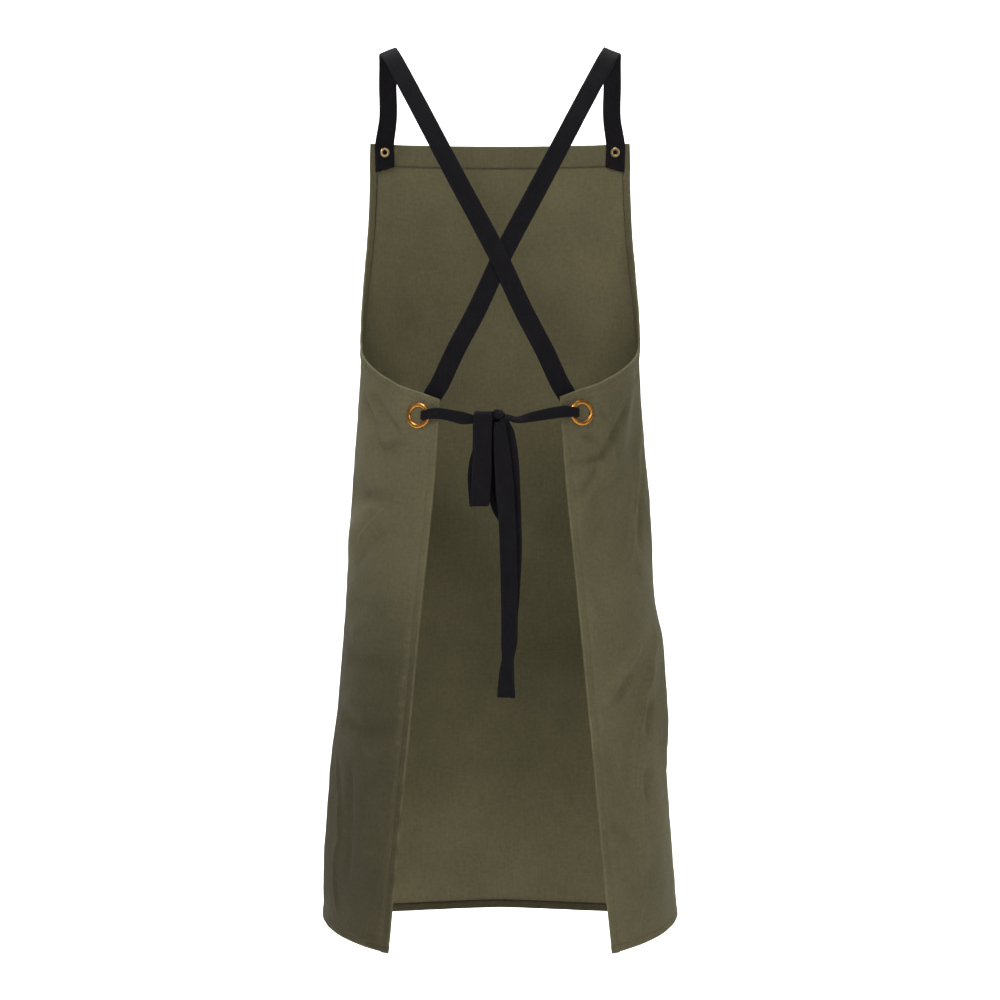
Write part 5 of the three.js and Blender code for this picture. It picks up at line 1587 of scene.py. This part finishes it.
    def build(self) -> list[Item]:
        """Build and dress the straps, the knot, the loops and the tails."""
        maker = TapeMaker()
        made = []
        for side, seed in ((Side.LEFT, 2), (Side.RIGHT, 3)):
            name = f"{side.name.lower()}_strap"
            slant = side.value * self.end_slant
            made.append((maker.build(f"{name}_tape", self.strap(side), seed, (1.1, 0.0), 0.12, slant), name))
        bow = (("bow_loop", BOW_LOOP, 0), ("hidden_loop", HIDDEN_LOOP, 1), ("long_tail", LONG_TAIL, 2),
               ("short_tail", SHORT_TAIL, 3))
        for name, rows, index in bow:
            piece = self.bow_piece(rows, self.lengths[index])
            ends = (0.0, 0.5) if index > 1 else (0.0, 0.0)
            made.append((maker.build(f"{name}_tape", piece, 50 + index, ends), name))
        made.append((self.knot(), "waist_knot"))
        return [Finishes.dress(item, self.finishes.tape, "tape", node) for item, node in made]


@dataclass
class Eyelets:
    """The four brass eyelets, each one ring with a rounded flange outside."""

    form: ClothForm
    finishes: Finishes
    outer: float = 27.6
    bore: float = 17.2
    small_outer: float = 11.0
    small_bore: float = 5.0
    barrel_wall: float = 0.8
    flange: float = 1.2
    gap: float = 0.3
    low: float = -1.35
    small_low: float = -4.8

    def ring(self, name: str, pad: Pad, outer: float, bore: float, low: float,
             segments: int) -> Item:
        """Turn an eyelet's section round its pad's normal.

        The section is a closed loop of radius and height: the outside flange is half an
        oval, the barrel drops through the cloth, and the inside flange is flat.

        Args:
            name: Name of the object.
            pad: Where the eyelet sits.
            outer: Outer diameter.
            bore: Bore diameter.
            low: Inner level that it clamps, along the pad's normal.
            segments: Steps round the ring.

        Returns:
            The object.
        """
        inner, rim = bore / 2, outer / 2
        middle, half = (inner + rim) / 2, (rim - inner) / 2
        arc = np.linspace(0, math.pi, 17)
        crown = np.column_stack([middle + half * np.cos(arc), self.gap + 1.5 * self.flange * np.sin(arc)])
        crown[:, 0] = np.clip(crown[:, 0], inner, rim)
        lip = np.array([[inner, low - 0.5 * self.flange], [inner + 0.3, low - 0.9 * self.flange],
                        [inner + 0.9, low - self.flange], [rim - 1.0, low - self.flange],
                        [rim - 0.3, low - 0.8 * self.flange], [rim, low - 0.5 * self.flange],
                        [rim - 0.2, low - self.gap], [inner + self.barrel_wall, low - self.gap],
                        [inner + self.barrel_wall, 0.1], [rim - 0.4, 0.12]])
        section = np.vstack([crown, lip])
        turn = np.linspace(0, math.tau, segments, endpoint=False)[:, None]
        side = unit(np.cross(pad.normal, [0.0, 0.0, 1.0]))
        top = np.cross(side, pad.normal)
        spoke = np.cos(turn) * side + np.sin(turn) * top
        points = (pad.centre + spoke[:, None, :] * section[None, :, :1]
                  + pad.normal * section[None, :, 1:])
        rows, columns = points.shape[:2]
        looped = np.vstack([points, points[:1]])
        quads = grid_faces(rows + 1, columns, around=True) % (rows * columns)
        uv = np.column_stack([np.repeat(turn[:, 0] * rim, columns), np.tile(section[:, 1] + 10, rows)]) * MM
        return make_object(name, looped[:-1].reshape(-1, 3), quads, [], uv)

    def build(self) -> list[Item]:
        """Build and dress the four rings."""
        names = ("left_eyelet", "right_eyelet", "left_bib_eyelet", "right_bib_eyelet")
        made = []
        for index, (name, pad) in enumerate(zip(names, self.form.pads)):
            if index < 2:
                item = self.ring(f"{name}_ring", pad, self.outer, self.bore, self.low, 96)
            else:
                item = self.ring(f"{name}_ring", pad, self.small_outer, self.small_bore, self.small_low, 56)
            finish = self.finishes.brass if index < 2 else self.finishes.old_brass
            made.append(Finishes.dress(item, finish, "brass", name))
        return made


@dataclass
class Studio:
    """The pale cove, the soft lights and the camera."""

    camera_distance: float = 2.3
    camera_height: float = -0.496
    frame_width: float = 1.09
    sensor: float = 36.0
    floor_z: float = -1.42
    wall_y: float = -4.4

    def cove(self) -> Item:
        """Build the floor and backdrop as one sheet with a quarter-round bend."""
        bend = 0.9
        arc = np.linspace(0, math.pi / 2, 25)
        profile = np.vstack([[[7.0, self.floor_z]],
                             np.column_stack([self.wall_y + bend - bend * np.sin(arc),
                                              self.floor_z + bend - bend * np.cos(arc)]),
                             [[self.wall_y, 5.0]]])
        across = np.linspace(-8.0, 8.0, 9)
        x = np.broadcast_to(across[None, :], (len(profile), len(across)))
        y = np.broadcast_to(profile[:, :1], x.shape)
        z = np.broadcast_to(profile[:, 1:], x.shape)
        points = np.stack([x, y, z], axis=-1).reshape(-1, 3)
        mesh = bpy.data.meshes.new("cove")
        mesh.from_pydata(points.tolist(), [], grid_faces(len(profile), len(across)).tolist())
        mesh.polygons.foreach_set("use_smooth", np.ones(len(mesh.polygons), bool))
        item = bpy.data.objects.new("cove", mesh)
        bpy.context.scene.collection.objects.link(item)
        graph = Graph("pale_paper")
        tone = graph.noise(graph.place(), 1.5, 2)
        shade = graph.ramp(tone, ((0.3, (0.91, 0.91, 0.91)), (0.7, (0.94, 0.94, 0.94))))
        graph.surface(shade, 0.9, graph.bump(graph.noise(graph.place(), 30, 2), 0.05, 0.001))
        mesh.materials.append(graph.material)
        return item

    def lamp(self, name: str, place: Sequence[float], size: float, power: float,
             aim: Sequence[float] = (0.0, 0.0, -0.5)) -> None:
        """Hang a square soft light that points at a place."""
        data = bpy.data.lights.new(name, "AREA")
        data.size = size
        data.energy = power
        item = bpy.data.objects.new(name, data)
        bpy.context.scene.collection.objects.link(item)
        item.location = place
        toward = np.array(aim) - np.array(place)
        item.rotation_mode = "QUATERNION"
        item.rotation_quaternion = Vector(toward).to_track_quat("-Z", "Y")

    def build(self) -> None:
        """Set the cove, the lights, the world and the camera."""
        self.cove()
        self.lamp("key_light", (1.2, 1.7, 1.5), 0.7, 27)
        self.lamp("fill_light", (-1.1, 3.2, 0.5), 1.6, 29)
        self.lamp("front_light", (0.6, -1.0, 1.9), 1.6, 9)
        self.lamp("wall_light", (0.0, -1.9, 2.9), 3.0, 330, (0.0, -4.4, -0.6))
        self.lamp("top_light", (0.0, 0.5, 2.2), 1.6, 9)
        world = bpy.data.worlds.new("studio")
        bpy.context.scene.world = world
        world.use_nodes = True
        world.node_tree.nodes["Background"].inputs["Color"].default_value = (1.0, 1.0, 1.0, 1.0)
        world.node_tree.nodes["Background"].inputs["Strength"].default_value = 0.28
        bpy.context.scene.view_settings.view_transform = "Standard"
        data = bpy.data.cameras.new("photo_camera")
        data.sensor_fit = "HORIZONTAL"
        data.sensor_width = self.sensor
        data.lens = self.sensor * self.camera_distance / self.frame_width
        item = bpy.data.objects.new("photo_camera", data)
        bpy.context.scene.collection.objects.link(item)
        item.location = (0.0, self.camera_distance, self.camera_height)
        item.rotation_euler = (math.pi / 2, 0.0, math.pi)
        bpy.context.scene.camera = item


def main() -> None:
    """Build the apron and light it."""
    logging.basicConfig(level=logging.INFO)
    form = ClothForm()
    finishes = Finishes()
    for part in (ApronPanel(form, finishes), FrontPocket(form, finishes),
                 StrapsAndBow(form, finishes), Eyelets(form, finishes)):
        made = part.build()
        LOG.info("%s: %d pieces", type(part).__name__, len(made))
    Studio().build()


if __name__ == "__main__":
    main()
